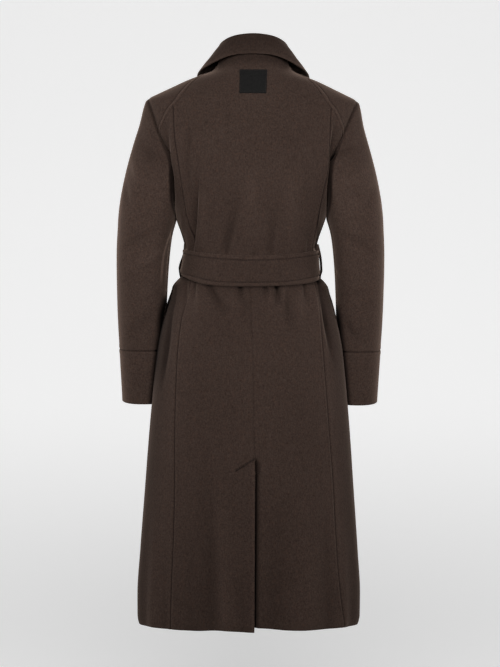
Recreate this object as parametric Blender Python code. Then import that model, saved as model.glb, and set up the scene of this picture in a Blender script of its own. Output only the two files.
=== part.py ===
# Belted wool coat in its worn shape, hollow and open at the neck, the hem and the cuffs.
# Metres, +Z up. +Y is the coat's front, +X its right side, and the origin lies at the nape.

import math
from collections import namedtuple

import bmesh
import bpy
import numpy as np

# Cloth and seams
CLOTH = 0.0024
COLLAR_CLOTH = 0.0028
BELT_CLOTH = 0.0040
LOOP_CLOTH = 0.0018
PATCH_CLOTH = 0.0012
SEAM = 0.0003
LIE = 0.0008

# Levels
HEM = -1.150
VENT_TOP = -0.812
WAIST = -0.424
BREAK = -0.345
ARMPIT = -0.300
FRONT_POINT = -0.212
YOKE_END = -0.150
YOKE_POINT = -0.096
SHOULDER_TIP = -0.078
NECK = -0.012
NAPE = 0.024
CUFF_SEAM = -0.591

# Belt, loops, patch and laps
BELT_TOP = -0.384
BELT_WIDTH = 0.064
BELT_SAG = 0.009
TAIL_WIDTH = 0.058
TAIL_ENDS = (-0.790, -0.752)
LOOP_WIDTH = 0.009
PATCH_HALF = 0.0275
PATCH_LEVELS = (-0.066, -0.0165)
FRONT_LAP = 0.060
VENT_LAP = 0.045
VENT_STEP = 0.0034
VENT_DROP = 0.005
VENT_RISE = 0.004
LAPEL_RISE = 0.0050
COLLAR_FOLD = 0.0050
# how far the fall stands out, by its share from the fold to the edge
COLLAR_BULGE = [(0.3, 0.0035), (0.65, 0.0030), (1.0, 0.0)]

# Horizontal sections of the body, the outside of the cloth
Section = namedtuple("Section", "z half back front middle square")
BODY = [
    Section(-1.150, 0.2290, 0.190, 0.176, -0.020, 2.15),
    Section(-1.090, 0.2295, 0.186, 0.174, -0.021, 2.15),
    Section(-1.000, 0.2240, 0.181, 0.170, -0.022, 2.15),
    Section(-0.877, 0.2150, 0.173, 0.165, -0.024, 2.15),
    Section(-0.754, 0.2060, 0.164, 0.160, -0.026, 2.20),
    Section(-0.650, 0.1965, 0.156, 0.155, -0.027, 2.20),
    Section(-0.584, 0.1890, 0.150, 0.151, -0.026, 2.20),
    Section(-0.539, 0.1805, 0.142, 0.145, -0.022, 2.20),
    Section(-0.508, 0.1730, 0.133, 0.139, -0.017, 2.25),
    Section(-0.488, 0.1675, 0.127, 0.135, -0.013, 2.25),
    Section(-0.468, 0.1600, 0.119, 0.129, -0.008, 2.30),
    Section(-0.459, 0.1515, 0.112, 0.123, -0.006, 2.30),
    Section(-0.450, 0.1430, 0.105, 0.118, -0.005, 2.30),
    Section(-0.385, 0.1350, 0.098, 0.111, 0.000, 2.30),
    Section(-0.365, 0.1390, 0.101, 0.116, 0.000, 2.30),
    Section(-0.324, 0.1530, 0.109, 0.129, 0.002, 2.30),
    Section(-0.300, 0.1600, 0.1125, 0.135, 0.003, 2.30),
    Section(-0.240, 0.1850, 0.117, 0.137, 0.004, 2.25),
    Section(-0.180, 0.2100, 0.116, 0.127, 0.004, 2.15),
    Section(-0.125, 0.2260, 0.110, 0.110, 0.002, 2.05),
    Section(-0.078, 0.2165, 0.099, 0.094, 0.000, 2.00),
    Section(-0.040, 0.1390, 0.083, 0.076, 0.000, 2.00),
    Section(-0.012, 0.0780, 0.069, 0.060, 0.000, 2.00),
    Section(0.024, 0.0700, 0.060, 0.052, 0.000, 2.00),
]

# Back princess seams, which the hanging skirt turns a little to the right
SeamPair = namedtuple("SeamPair", "z left right")
PRINCESS = [
    SeamPair(-1.150, 0.1590, 0.1945),
    SeamPair(-1.058, 0.1566, 0.1836),
    SeamPair(-0.959, 0.1529, 0.1761),
    SeamPair(-0.861, 0.1513, 0.1704),
    SeamPair(-0.763, 0.1518, 0.1626),
    SeamPair(-0.664, 0.1500, 0.1548),
    SeamPair(-0.590, 0.1467, 0.1486),
    SeamPair(-0.535, 0.1408, 0.1438),
    SeamPair(-0.485, 0.1305, 0.1378),
    SeamPair(-0.455, 0.1227, 0.1322),
    SeamPair(-0.385, 0.1175, 0.1262),
    SeamPair(-0.340, 0.1256, 0.1329),
    SeamPair(-0.299, 0.1340, 0.1400),
    SeamPair(-0.252, 0.1416, 0.1509),
    SeamPair(-0.228, 0.1452, 0.1565),
    SeamPair(-0.200, 0.1493, 0.1597),
    SeamPair(-0.150, 0.1566, 0.1607),
    SeamPair(-0.096, 0.1612, 0.1612),
]

# Other seams, each as its distance from the centre line at a level
SeamAt = namedtuple("SeamAt", "z x")
CENTRE = [
    SeamAt(-1.150, 0.0115),
    SeamAt(-0.836, 0.0115),
    SeamAt(-0.800, 0.0105),
    SeamAt(-0.740, 0.0082),
    SeamAt(-0.640, 0.0068),
    SeamAt(-0.541, 0.0030),
    SeamAt(-0.470, 0.0004),
    SeamAt(-0.424, 0.0000),
]
FRONT_PRINCESS = [
    SeamAt(-1.150, 0.1700),
    SeamAt(-1.000, 0.1605),
    SeamAt(-0.877, 0.1550),
    SeamAt(-0.700, 0.1480),
    SeamAt(-0.610, 0.1420),
    SeamAt(-0.530, 0.1330),
    SeamAt(-0.470, 0.1210),
    SeamAt(-0.385, 0.1130),
    SeamAt(-0.300, 0.1270),
    SeamAt(-0.250, 0.1420),
    SeamAt(-0.212, 0.1642),
]
YOKE = [
    SeamAt(-0.150, 0.1890),
    SeamAt(-0.136, 0.1855),
    SeamAt(-0.122, 0.1790),
    SeamAt(-0.107, 0.1710),
    SeamAt(-0.084, 0.1520),
    SeamAt(-0.049, 0.1260),
    SeamAt(-0.033, 0.1100),
    SeamAt(-0.022, 0.0940),
    SeamAt(-0.012, 0.0760),
]
ROLL = [
    SeamAt(-0.345, -0.0600),
    SeamAt(-0.240, -0.0180),
    SeamAt(-0.120, 0.0270),
    SeamAt(-0.050, 0.0520),
    SeamAt(-0.012, 0.0640),
]
ArmholeAt = namedtuple("ArmholeAt", "z back front")
ARMHOLE = [
    ArmholeAt(-0.300, 0.1600, 0.1600),
    ArmholeAt(-0.283, 0.1605, 0.1590),
    ArmholeAt(-0.262, 0.1615, 0.1595),
    ArmholeAt(-0.240, 0.1630, 0.1610),
    ArmholeAt(-0.218, 0.1662, 0.1640),
    ArmholeAt(-0.197, 0.1715, 0.1685),
    ArmholeAt(-0.175, 0.1790, 0.1740),
    ArmholeAt(-0.150, 0.1890, 0.1815),
    ArmholeAt(-0.125, 0.1985, 0.1905),
    ArmholeAt(-0.100, 0.2080, 0.2020),
    ArmholeAt(-0.078, 0.2165, 0.2165),
]

# Sleeve rings below the armhole
Ring = namedtuple("Ring", "z x y half_x half_y tilt")
SLEEVE = [
    Ring(-0.330, 0.2180, 0.008, 0.0565, 0.0660, 0.000),
    Ring(-0.385, 0.2235, 0.014, 0.0540, 0.0630, 0.000),
    Ring(-0.447, 0.2260, 0.025, 0.0515, 0.0600, 0.000),
    Ring(-0.529, 0.2270, 0.048, 0.0490, 0.0560, 0.002),
    Ring(-0.591, 0.2265, 0.066, 0.0465, 0.0520, 0.004),
    Ring(-0.700, 0.2245, 0.094, 0.0430, 0.0470, 0.008),
]

# Largest folds: face +1 is the back, -1 the front; crest is the share of the length where it is highest
Fold = namedtuple("Fold", "face x_top z_top x_end z_end width height crest")
FOLDS = [
    Fold(1, -0.110, -0.210, -0.124, -0.390, 0.015, -0.007, 0.70),
    Fold(1, -0.080, -0.240, -0.092, -0.390, 0.018, 0.005, 0.75),
    Fold(1, -0.057, -0.310, -0.058, -0.390, 0.014, -0.005, 0.75),
    Fold(1, 0.005, -0.210, 0.003, -0.390, 0.034, 0.004, 0.75),
    Fold(1, 0.039, -0.330, 0.038, -0.390, 0.014, -0.004, 0.70),
    Fold(1, 0.104, -0.290, 0.098, -0.390, 0.016, -0.004, 0.75),
    Fold(1, -0.113, -0.448, -0.116, -0.570, 0.015, -0.006, 0.28),
    Fold(1, -0.076, -0.448, -0.040, -0.580, 0.015, -0.006, 0.30),
    Fold(1, -0.022, -0.448, -0.022, -0.540, 0.014, -0.005, 0.30),
    Fold(1, 0.050, -0.448, 0.054, -0.570, 0.015, -0.008, 0.28),
    Fold(1, 0.084, -0.448, 0.108, -0.630, 0.017, -0.005, 0.35),
    Fold(1, -0.052, -0.720, -0.052, -1.400, 0.030, 0.007, 0.70),
    Fold(1, -0.108, -0.700, -0.108, -1.400, 0.028, -0.006, 0.70),
    Fold(1, 0.100, -0.760, 0.108, -1.400, 0.040, 0.005, 0.70),
    Fold(-1, -0.090, -0.448, -0.104, -0.640, 0.017, -0.007, 0.28),
    Fold(-1, 0.088, -0.448, 0.108, -0.660, 0.017, -0.007, 0.28),
    Fold(-1, 0.110, -0.240, 0.096, -0.390, 0.016, -0.004, 0.75),
    Fold(-1, -0.112, -0.250, -0.098, -0.390, 0.016, -0.004, 0.75),
]

# Lapel edge along the roll line, share 0 at the neck and 1 at the break
LapelAt = namedtuple("LapelAt", "share x z")
LAPEL = [
    LapelAt(0.00, 0.1500, -0.1050),
    LapelAt(0.22, 0.1400, -0.1480),
    LapelAt(0.45, 0.1080, -0.2150),
    LapelAt(0.70, 0.0540, -0.2850),
    LapelAt(0.90, -0.0100, -0.3300),
    LapelAt(1.00, -0.0470, -0.3440),
]

# Collar from the centre back to its front end: neck seam, fold centre and outer edge
CollarAt = namedtuple("CollarAt", "seam fold edge")
COLLAR = [
    CollarAt((0.000, -0.0595, 0.0256), (0.000, -0.0660, 0.0545), (0.000, -0.0760, 0.0180)),
    CollarAt((0.034, -0.0520, 0.0256), (0.031, -0.0610, 0.0515), (0.036, -0.0727, 0.0162)),
    CollarAt((0.056, -0.0410, 0.0065), (0.055, -0.0420, 0.0440), (0.066, -0.0600, 0.0090)),
    CollarAt((0.0765, -0.0080, -0.0114), (0.0680, -0.0080, 0.0330), (0.089, -0.0400, -0.0045)),
    CollarAt((0.0750, 0.0160, -0.0114), (0.0665, 0.0160, 0.0200), (0.1035, -0.0080, -0.0160)),
    CollarAt((0.0700, 0.0255, -0.0114), (0.0630, 0.0300, 0.0030), (0.1125, 0.0360, -0.0280)),
    CollarAt((0.0670, 0.0295, -0.0114), (0.0615, 0.0345, -0.0005), (0.1135, 0.0630, -0.0450)),
    CollarAt((0.0640, 0.0330, -0.0114), (0.0600, 0.0385, -0.0040), (0.1080, 0.0840, -0.0600)),
]

# Belt loop: how far it stands off the side seam on its way over the belt
LoopAt = namedtuple("LoopAt", "z bulge")
LOOP = [
    LoopAt(-0.371, 0.0003),
    LoopAt(-0.377, 0.0016),
    LoopAt(-0.384, 0.0056),
    LoopAt(-0.392, 0.0074),
    LoopAt(-0.408, 0.0092),
    LoopAt(-0.424, 0.0096),
    LoopAt(-0.440, 0.0084),
    LoopAt(-0.450, 0.0072),
    LoopAt(-0.457, 0.0044),
    LoopAt(-0.463, 0.0016),
    LoopAt(-0.469, 0.0003),
]

# Rows of the panels, from the hem up
SKIRT_ROWS = [HEM, -1.080, -0.980, -0.900, -0.840, -0.826, VENT_TOP, -0.775, -0.710, -0.640, -0.585]
SKIRT_ROWS += [-0.545, -0.515, -0.494, -0.478, -0.468, -0.459, -0.450, WAIST]
CHEST_ROWS = [WAIST, BELT_TOP, -0.374, -0.354, -0.330, -0.314, ARMPIT]
ARM_ROWS = [ARMPIT, -0.293, -0.280, -0.258, -0.235, FRONT_POINT, -0.182, YOKE_END, -0.122, YOKE_POINT, -0.083]
ARM_ROWS += [SHOULDER_TIP]
SHOULDER_ROWS = [SHOULDER_TIP, -0.065, -0.054, -0.043, -0.033, -0.022, NECK]
NAPE_ROWS = [NECK, 0.006, NAPE]
SLEEVE_ROWS = [-0.330, -0.385, -0.430, -0.480, -0.535, CUFF_SEAM, -0.630, -0.668, -0.700]
CAP_ROWS = 6
UNDER_BACK = 1
UNDER_FRONT = 4
ANGLE_STEP = 0.004
LEVEL_STEP = 0.001


def curve_through(keys, values):
    # Monotone cubic through the pairs, so that it does not swing past them
    order = np.argsort(keys)
    keys = np.asarray(keys, float)[order]
    values = np.asarray(values, float)[order]
    step = np.diff(keys)
    slope = np.diff(values) / step
    first = 2 * step[1:] + step[:-1]
    second = step[1:] + 2 * step[:-1]
    same_way = slope[:-1] * slope[1:] > 0
    low = np.where(same_way, slope[:-1], 1.0)
    high = np.where(same_way, slope[1:], 1.0)
    tangent = np.concatenate([[slope[0]], np.zeros(len(step) - 1), [slope[-1]]])
    tangent[1:-1] = np.where(same_way, (first + second) / (first / low + second / high), 0.0)

    def value(at):
        at = np.clip(np.asarray(at, float), keys[0], keys[-1])
        i = np.clip(np.searchsorted(keys, at) - 1, 0, len(step) - 1)
        t = (at - keys[i]) / step[i]
        start = (1 + 2 * t) * (1 - t) ** 2 * values[i] + t * (1 - t) ** 2 * step[i] * tangent[i]
        end = t * t * (3 - 2 * t) * values[i + 1] + t * t * (t - 1) * step[i] * tangent[i + 1]
        return start + end

    return value


def table_curve(table, key, name):
    return curve_through([getattr(row, key) for row in table], [getattr(row, name) for row in table])


def smooth(value):
    t = np.clip(value, 0.0, 1.0)
    return t * t * (3 - 2 * t)


def unit(vectors):
    return vectors / np.linalg.norm(vectors, axis=-1, keepdims=True)


HALF = table_curve(BODY, "z", "half")
BACK = table_curve(BODY, "z", "back")
FRONT = table_curve(BODY, "z", "front")
MIDDLE = table_curve(BODY, "z", "middle")
SQUARE = table_curve(BODY, "z", "square")
PRINCESS_LEFT_X = table_curve(PRINCESS, "z", "left")
PRINCESS_RIGHT_X = table_curve(PRINCESS, "z", "right")
CENTRE_X = table_curve(CENTRE, "z", "x")
FRONT_PRINCESS_X = table_curve(FRONT_PRINCESS, "z", "x")
YOKE_X = table_curve(YOKE, "z", "x")
ROLL_X = table_curve(ROLL, "z", "x")
ARMHOLE_BACK_X = table_curve(ARMHOLE, "z", "back")
ARMHOLE_FRONT_X = table_curve(ARMHOLE, "z", "front")
SLEEVE_X = table_curve(SLEEVE, "z", "x")
SLEEVE_Y = table_curve(SLEEVE, "z", "y")
SLEEVE_HALF_X = table_curve(SLEEVE, "z", "half_x")
SLEEVE_HALF_Y = table_curve(SLEEVE, "z", "half_y")
SLEEVE_TILT = table_curve(SLEEVE, "z", "tilt")
LAPEL_X = table_curve(LAPEL, "share", "x")
LAPEL_Z = table_curve(LAPEL, "share", "z")


def belt_dip(angle, z):
    # The waist lies a little lower at the centre back, as the belt does
    return BELT_SAG * np.clip(np.sin(angle), 0.0, 1.0) ** 2 * np.exp(-(((z - WAIST) / 0.080) ** 4))


def body_ring(angle, level):
    # Superellipse at each level: angle 0 is the right side, 90 degrees the back, -90 the front
    square = SQUARE(level)
    across = np.cos(angle)
    along = np.sin(angle)
    reach = np.where(along > 0, BACK(level) + MIDDLE(level), FRONT(level) - MIDDLE(level))
    x = HALF(level) * np.sign(across) * np.abs(across) ** (2 / square)
    y = MIDDLE(level) - reach * np.sign(along) * np.abs(along) ** (2 / square)
    return np.stack([x, y, level - belt_dip(angle, level)], -1)


def ring_normal(angle, z):
    around = body_ring(angle + ANGLE_STEP, z) - body_ring(angle - ANGLE_STEP, z)
    upward = body_ring(angle, z + LEVEL_STEP) - body_ring(angle, z - LEVEL_STEP)
    return unit(np.cross(upward, around))


def angle_at(x, z, face):
    # Angle of the point with this x on the back (face 1) or the front (face -1)
    share = np.clip(x / HALF(z), -1.0, 1.0)
    return face * np.arccos(np.sign(share) * np.abs(share) ** (SQUARE(z) / 2))


def turned(angle, side):
    return angle if side > 0 else math.pi - angle


def fold_height(angle, level, points):
    # Soft troughs and ridges with a bell section, held flat under the belt
    x = points[..., 0]
    z = points[..., 2]
    height = np.zeros_like(x)
    for fold in FOLDS:
        share = (fold.z_top - z) / (fold.z_top - fold.z_end)
        axis = fold.x_top + (fold.x_end - fold.x_top) * np.clip(share, 0.0, 1.0)
        rise = smooth(share / fold.crest) * smooth((1 - share) / (1 - fold.crest))
        on_face = np.clip(np.sin(angle) * fold.face * 4, 0.0, 1.0)
        height += fold.height * rise * on_face * np.exp(-(((x - axis) / fold.width) ** 2))
    below = smooth((level - BELT_TOP + BELT_WIDTH + 0.016) / 0.014)
    above = smooth((BELT_TOP + 0.016 - level) / 0.014)
    return height * (1 - below * above)


def coat_point(angle, z, lift=0.0, layer=None):
    plain = body_ring(angle, z)
    height = fold_height(angle, z, plain) + lift
    if layer:
        height = height + layer(plain)
    return plain + ring_normal(angle, z) * height[..., None]


def coat_normal(angle, z, lift=0.0, layer=None):
    def at(turn, rise):
        return coat_point(angle + turn, z + rise, lift, layer)

    around = at(ANGLE_STEP, 0.0) - at(-ANGLE_STEP, 0.0)
    upward = at(0.0, LEVEL_STEP) - at(0.0, -LEVEL_STEP)
    return unit(np.cross(upward, around))


def vent_under(points):
    # The right skirt panel steps in behind the left one, more towards the hem
    z = points[..., 2]
    x = points[..., 0] - CENTRE_X(z)
    opening = smooth((VENT_TOP - z) / (VENT_TOP - HEM))
    near = smooth((0.042 - x) / 0.036) * smooth((VENT_TOP + 0.036 - z) / 0.034)
    return -(VENT_STEP + 0.006 * opening) * near


def vent_drop(points):
    # The lapping panel hangs a little lower at the vent
    z = points[..., 2]
    near = smooth((points[..., 0] - CENTRE_X(z) + 0.100) / 0.100)
    return -VENT_DROP * near * smooth((VENT_TOP - z) / (VENT_TOP - HEM))


def vent_rise(points):
    z = points[..., 2]
    near = smooth((0.070 - points[..., 0] + CENTRE_X(z)) / 0.070)
    return VENT_RISE * near * smooth((VENT_TOP - z) / (VENT_TOP - HEM))


def front_under(points):
    # The left front lies inside the right one, deeper where its lapel passes beneath
    x = points[..., 0]
    z = points[..., 2]
    deep = 0.005 + 0.0055 * smooth((z + 0.400) / 0.050)
    near = smooth((x + 0.128) / 0.084) * smooth((-0.050 - z) / 0.090)
    return -deep * near * (points[..., 1] > 0)


def draw_in(grid, ring=False):
    # Half a seam gap along every free edge
    grid = grid.copy()
    grid[0] += unit(grid[1] - grid[0]) * SEAM / 2
    grid[-1] += unit(grid[-2] - grid[-1]) * SEAM / 2
    if not ring:
        grid[:, 0] += unit(grid[:, 1] - grid[:, 0]) * SEAM / 2
        grid[:, -1] += unit(grid[:, -2] - grid[:, -1]) * SEAM / 2
    return grid


def add_piece(name, points, faces):
    mesh = bpy.data.meshes.new(name)
    mesh.from_pydata([tuple(p) for p in points], [], faces)
    shape = bmesh.new()
    shape.from_mesh(mesh)
    bmesh.ops.recalc_face_normals(shape, faces=shape.faces[:])
    for face in shape.faces:
        face.smooth = True
    shape.to_mesh(mesh)
    shape.free()
    piece = bpy.data.objects.new(name, mesh)
    bpy.context.collection.objects.link(piece)
    return piece


def add_wall(name, outer, inner, ring=False):
    # Two skins over the same grid, closed along the edges; a ring has no side edges
    rows, columns = outer.shape[:2]
    count = rows * columns
    last = columns if ring else columns - 1
    faces = []
    for i in range(rows - 1):
        for j in range(last):
            k = (j + 1) % columns
            corner = [i * columns + j, i * columns + k, (i + 1) * columns + k, (i + 1) * columns + j]
            faces.append(corner)
            faces.append([count + v for v in reversed(corner)])
    for j in range(last):
        k = (j + 1) % columns
        for i in (0, rows - 1):
            low = i * columns
            faces.append([low + j, low + k, count + low + k, count + low + j])
    if not ring:
        for i in range(rows - 1):
            for j in (0, columns - 1):
                low = i * columns + j
                high = low + columns
                faces.append([low, high, count + high, count + low])
    return add_piece(name, np.concatenate([outer.reshape(-1, 3), inner.reshape(-1, 3)]), faces)


def add_panel(name, rows, first, last, columns, layer=None, shift=None, lift=0.0, thick=CLOTH, sewn=True):
    # Panel between two seams, each given as an angle at every level
    level = np.asarray(rows)[:, None]
    start = first(np.asarray(rows))[:, None]
    end = last(np.asarray(rows))[:, None]
    angle = start + (end - start) * np.linspace(0.0, 1.0, columns + 1)
    z = level + 0 * angle
    outer = coat_point(angle, z, lift + (0 if sewn else thick), layer)
    inner = outer - coat_normal(angle, z, lift, layer) * thick
    if shift:
        outer[..., 2] += shift(outer)
        inner[..., 2] += shift(inner)
    if sewn:
        outer = draw_in(outer)
        inner = draw_in(inner)
    return add_wall(name, outer, inner)


def princess_x(z, side):
    return PRINCESS_RIGHT_X(z) if side > 0 else PRINCESS_LEFT_X(z)


def princess(side):
    return lambda z: turned(angle_at(princess_x(z, side), z, 1), side)


def side_back_edge(side):
    # Side seam, then the armhole, then the yoke seam
    def edge(z):
        under = angle_at(ARMHOLE_BACK_X(z), z, 1)
        yoke = angle_at(YOKE_X(z), z, 1)
        angle = np.where(z < ARMPIT + 1e-6, 0.0, np.where(z < YOKE_END - 1e-6, under, yoke))
        return turned(angle, side)
    return edge


def back_edge(side):
    # Princess seam, then the yoke seam, then the neck seam
    def edge(z):
        rise = (z - NECK) / (NAPE - NECK)
        neck = angle_at(YOKE_X(NECK) + (0.035 - YOKE_X(NECK)) * rise, z, 1)
        yoke = angle_at(YOKE_X(z), z, 1)
        below = angle_at(princess_x(z, side), z, 1)
        angle = np.where(z < YOKE_POINT + 1e-6, below, np.where(z < NECK + 1e-6, yoke, neck))
        return turned(angle, side)
    return edge


def yoke_back_edge(side):
    return lambda z: turned(angle_at(YOKE_X(z), z, 1), side)


def yoke_top_edge(side):
    # Armhole up to the shoulder tip, then the shoulder seam just in front of the ridge
    def edge(z):
        under = angle_at(ARMHOLE_BACK_X(z), z, 1)
        seam = -math.radians(13) * (z - SHOULDER_TIP) / (NECK - SHOULDER_TIP)
        return turned(np.where(z < SHOULDER_TIP - 1e-6, under, seam), side)
    return edge


def front_princess(side):
    return lambda z: turned(angle_at(FRONT_PRINCESS_X(z), z, -1), side)


def front_outer_edge(side):
    # Side seam, then the armhole, then the shoulder seam
    def edge(z):
        under = angle_at(ARMHOLE_FRONT_X(z), z, -1)
        seam = -math.radians(13) * (z - SHOULDER_TIP) / (NECK - SHOULDER_TIP)
        angle = np.where(z < ARMPIT + 1e-6, 0.0, np.where(z < SHOULDER_TIP - 1e-6, under, seam))
        return turned(angle, side)
    return edge


def front_seam_edge(side):
    # Front princess seam up to the armhole, then on as the front's outer edge
    def edge(z):
        return np.where(z < FRONT_POINT + 1e-6, front_princess(side)(z), front_outer_edge(side)(z))
    return edge


def front_inner_edge(side):
    def edge(z):
        x = np.where(z < BREAK, -FRONT_LAP, ROLL_X(z))
        return turned(angle_at(x, z, -1), side)
    return edge


def vent_edge(z):
    # Centre back seam, then the underlap of the vent
    return angle_at(CENTRE_X(z) - VENT_LAP * np.clip((VENT_TOP - z) / 0.028, 0.0, 1.0), z, 1)


def centre_back(z):
    return angle_at(CENTRE_X(z), z, 1)


def rows_between(low, high):
    every = sorted(set(SKIRT_ROWS + CHEST_ROWS + ARM_ROWS + SHOULDER_ROWS + NAPE_ROWS + [BREAK]))
    return [z for z in every if low - 1e-6 < z < high + 1e-6]


def armhole_loop(side):
    # Closed loop from the armpit up the back, over the shoulder tip and down the front
    up = np.array(ARM_ROWS)
    down = up[-2:0:-1]
    back = angle_at(ARMHOLE_BACK_X(up), up, 1)
    back[[0, -1]] = 0.0
    front = angle_at(ARMHOLE_FRONT_X(down), down, -1)
    angle = turned(np.concatenate([back, front]), side)
    z = np.concatenate([up, down])
    return coat_point(angle, z), coat_normal(angle, z)


def sleeve_grid(side):
    # Rings from the armhole to the cuff hem, each point led along one smooth path
    loop, body_out = armhole_loop(side)
    around = len(loop)
    length = np.linalg.norm(np.roll(loop, -1, 0) - loop, axis=-1)
    travelled = np.concatenate([[0.0], np.cumsum(length)[:-1]])
    top = len(ARM_ROWS) - 1
    rise = travelled[top]
    on_back = np.arange(around) <= top
    share = np.where(on_back, travelled / rise, 1 - (travelled - rise) / (np.sum(length) - rise))
    turn = math.pi * np.where(on_back, share, 2 - share)
    levels = np.array(SLEEVE_ROWS)[:, None]
    ring_x = side * (SLEEVE_X(levels) - SLEEVE_HALF_X(levels) * np.cos(turn))
    ring_y = SLEEVE_Y(levels) - SLEEVE_HALF_Y(levels) * np.sin(turn)
    rings = np.stack([ring_x, ring_y, levels - SLEEVE_TILT(levels) * np.sin(turn)], -1)
    reach = np.linalg.norm(rings[0] - loop, axis=-1, keepdims=True)
    outward = 0.02 + 0.28 * share
    leave = unit(np.stack([side * outward, 0 * share, -1.0 + 0 * share], -1)) * reach
    arrive = unit(rings[1] - rings[0]) * reach
    cap = []
    for t in np.linspace(0.0, 1.0, CAP_ROWS + 1)[:-1]:
        start = (1 + 2 * t) * (1 - t) ** 2 * loop + t * (1 - t) ** 2 * leave
        cap.append(start + t * t * (3 - 2 * t) * rings[0] + t * t * (t - 1) * arrive)
    grid = np.concatenate([np.array(cap), rings])
    across = np.roll(grid, -1, 1) - np.roll(grid, 1, 1)
    down = np.gradient(grid, axis=0)
    normal = unit(np.cross(across, down))
    normal = normal * np.sign(np.sum(normal[-1] * (grid[-1] - grid[-1].mean(0)), -1).mean())
    # At the armhole the wall takes the body's direction where the two surfaces run on
    agree = np.sum(normal[0] * body_out, -1, keepdims=True)
    weight = smooth(agree / 0.6)
    normal[0] = unit(normal[0] * (1 - weight) + body_out * weight)
    return grid, grid - normal * CLOTH


def add_sleeve(side, word):
    outer, inner = sleeve_grid(side)
    seam_row = CAP_ROWS + SLEEVE_ROWS.index(CUFF_SEAM)
    around = outer.shape[1]
    top = np.arange(UNDER_BACK, around - UNDER_FRONT + 1)
    under = np.arange(around - UNDER_FRONT, around + UNDER_BACK + 1) % around
    for name, pick in (("sleeve_top_", top), ("sleeve_under_", under)):
        add_wall(name + word, draw_in(outer[:seam_row + 1, pick]), draw_in(inner[:seam_row + 1, pick]))
    add_wall("cuff_" + word, draw_in(outer[seam_row:], True), draw_in(inner[seam_row:], True), ring=True)


def grid_normal(grid):
    return unit(np.cross(np.gradient(grid, axis=0), np.gradient(grid, axis=1)))


def add_collar():
    # Stand, round fold and fall at every station, mirrored from the right half
    stations = np.arange(len(COLLAR))
    places = np.linspace(0.0, len(COLLAR) - 1, 14)
    lines = {}
    for name in ("seam", "fold", "edge"):
        table = np.array([getattr(row, name) for row in COLLAR])
        lines[name] = np.stack([curve_through(stations, table[:, k])(places) for k in range(3)], -1)
    fold = lines["fold"]
    run = unit(np.gradient(fold, axis=0))
    run[0] = (1.0, 0.0, 0.0)
    out = unit(np.cross(run, np.array([0.0, 0.0, 1.0])))
    rise = unit(np.cross(out, run))
    inside = fold - out * COLLAR_FOLD
    outside = fold + out * COLLAR_FOLD
    profile = [lines["seam"], lines["seam"] * 0.45 + inside * 0.55]
    for turn in np.radians([0, 45, 90, 135, 180]):
        profile.append(fold + (rise * math.sin(turn) - out * math.cos(turn)) * COLLAR_FOLD)
    for share, bulge in COLLAR_BULGE:
        profile.append(outside + (lines["edge"] - outside) * share + out * bulge)
    right = np.stack(profile, 1)
    left = right[:0:-1] * np.array([-1.0, 1.0, 1.0])
    grid = np.concatenate([left, right])
    normal = grid_normal(grid)
    if normal[len(grid) // 2, -2, 1] > 0:
        normal = -normal
    add_wall("collar", grid, grid - normal * COLLAR_CLOTH)


def add_lapel(side, word, layer):
    # Wraps the front's edge with a round fold and lies on the front out to its own edge
    share = np.array([0.0, 0.08, 0.18, 0.30, 0.43, 0.56, 0.69, 0.81, 0.92, 1.0])
    roll_z = NECK + (BREAK + 0.008 - NECK) * share
    roll_x = ROLL_X(roll_z)
    edge_x = LAPEL_X(share)
    edge_z = LAPEL_Z(share)
    angle = turned(angle_at(roll_x, roll_z, -1), side)
    root = coat_point(angle, roll_z, 0.0, layer)
    out = coat_normal(angle, roll_z, 0.0, layer)
    run = np.gradient(root, axis=0)
    tip = coat_point(turned(angle_at(edge_x, edge_z, -1), side), edge_z, LAPEL_RISE, layer)
    flat = unit(np.cross(out, run))
    flat = flat * np.sign(np.sum(flat * (tip - root), -1, keepdims=True))
    radius = LAPEL_RISE + CLOTH / 2
    centre = root - out * CLOTH / 2
    lines = []
    for turn in np.radians([-20, 15, 50]):
        lines.append(centre + (out * math.sin(turn) - flat * math.cos(turn)) * radius)
    for part in (0.0, 0.15, 0.4, 0.7, 1.0):
        x = roll_x + (edge_x - roll_x) * part
        z = roll_z + (edge_z - roll_z) * part
        lines.append(coat_point(turned(angle_at(x, z, -1), side), z, LAPEL_RISE, layer))
    grid = np.stack(lines, 1)
    normal = grid_normal(grid)
    normal = normal * np.sign(np.sum(normal[:, -2] * out, -1).mean())
    add_wall("lapel_" + word, grid, grid - normal * CLOTH)


def add_belt():
    angle = np.linspace(0.0, 2 * math.pi, 44, endpoint=False) + np.zeros((3, 1))
    z = np.array([BELT_TOP, WAIST, BELT_TOP - BELT_WIDTH])[:, None] + 0 * angle
    add_wall("belt", coat_point(angle, z, LIE + BELT_CLOTH), coat_point(angle, z, LIE), ring=True)


def add_tail(side, word):
    # Hangs from the knot and lies on the front of the skirt
    share = np.array([0.0, 0.06, 0.13, 0.25, 0.45, 0.7, 1.0])
    end = TAIL_ENDS[0] if side > 0 else TAIL_ENDS[1]
    z = -0.4608 + (end + 0.4608) * share
    half = TAIL_WIDTH / 2 * (0.50 + 0.50 * smooth(share / 0.2))
    centre = side * (0.018 + 0.022 * smooth(share / 0.3) + 0.010 * share)
    lift = 0.0015 + 0.0095 * (1 - smooth(share / 0.13))
    across = np.linspace(-1.0, 1.0, 6)
    x = centre[:, None] + half[:, None] * across
    level = z[:, None] + 0 * x
    inner = coat_point(angle_at(x, level, -1), level)
    inner[..., 1] += lift[:, None]
    add_wall("belt_tail_" + word, inner + np.array([0.0, BELT_CLOTH, 0.0]), inner)


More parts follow.
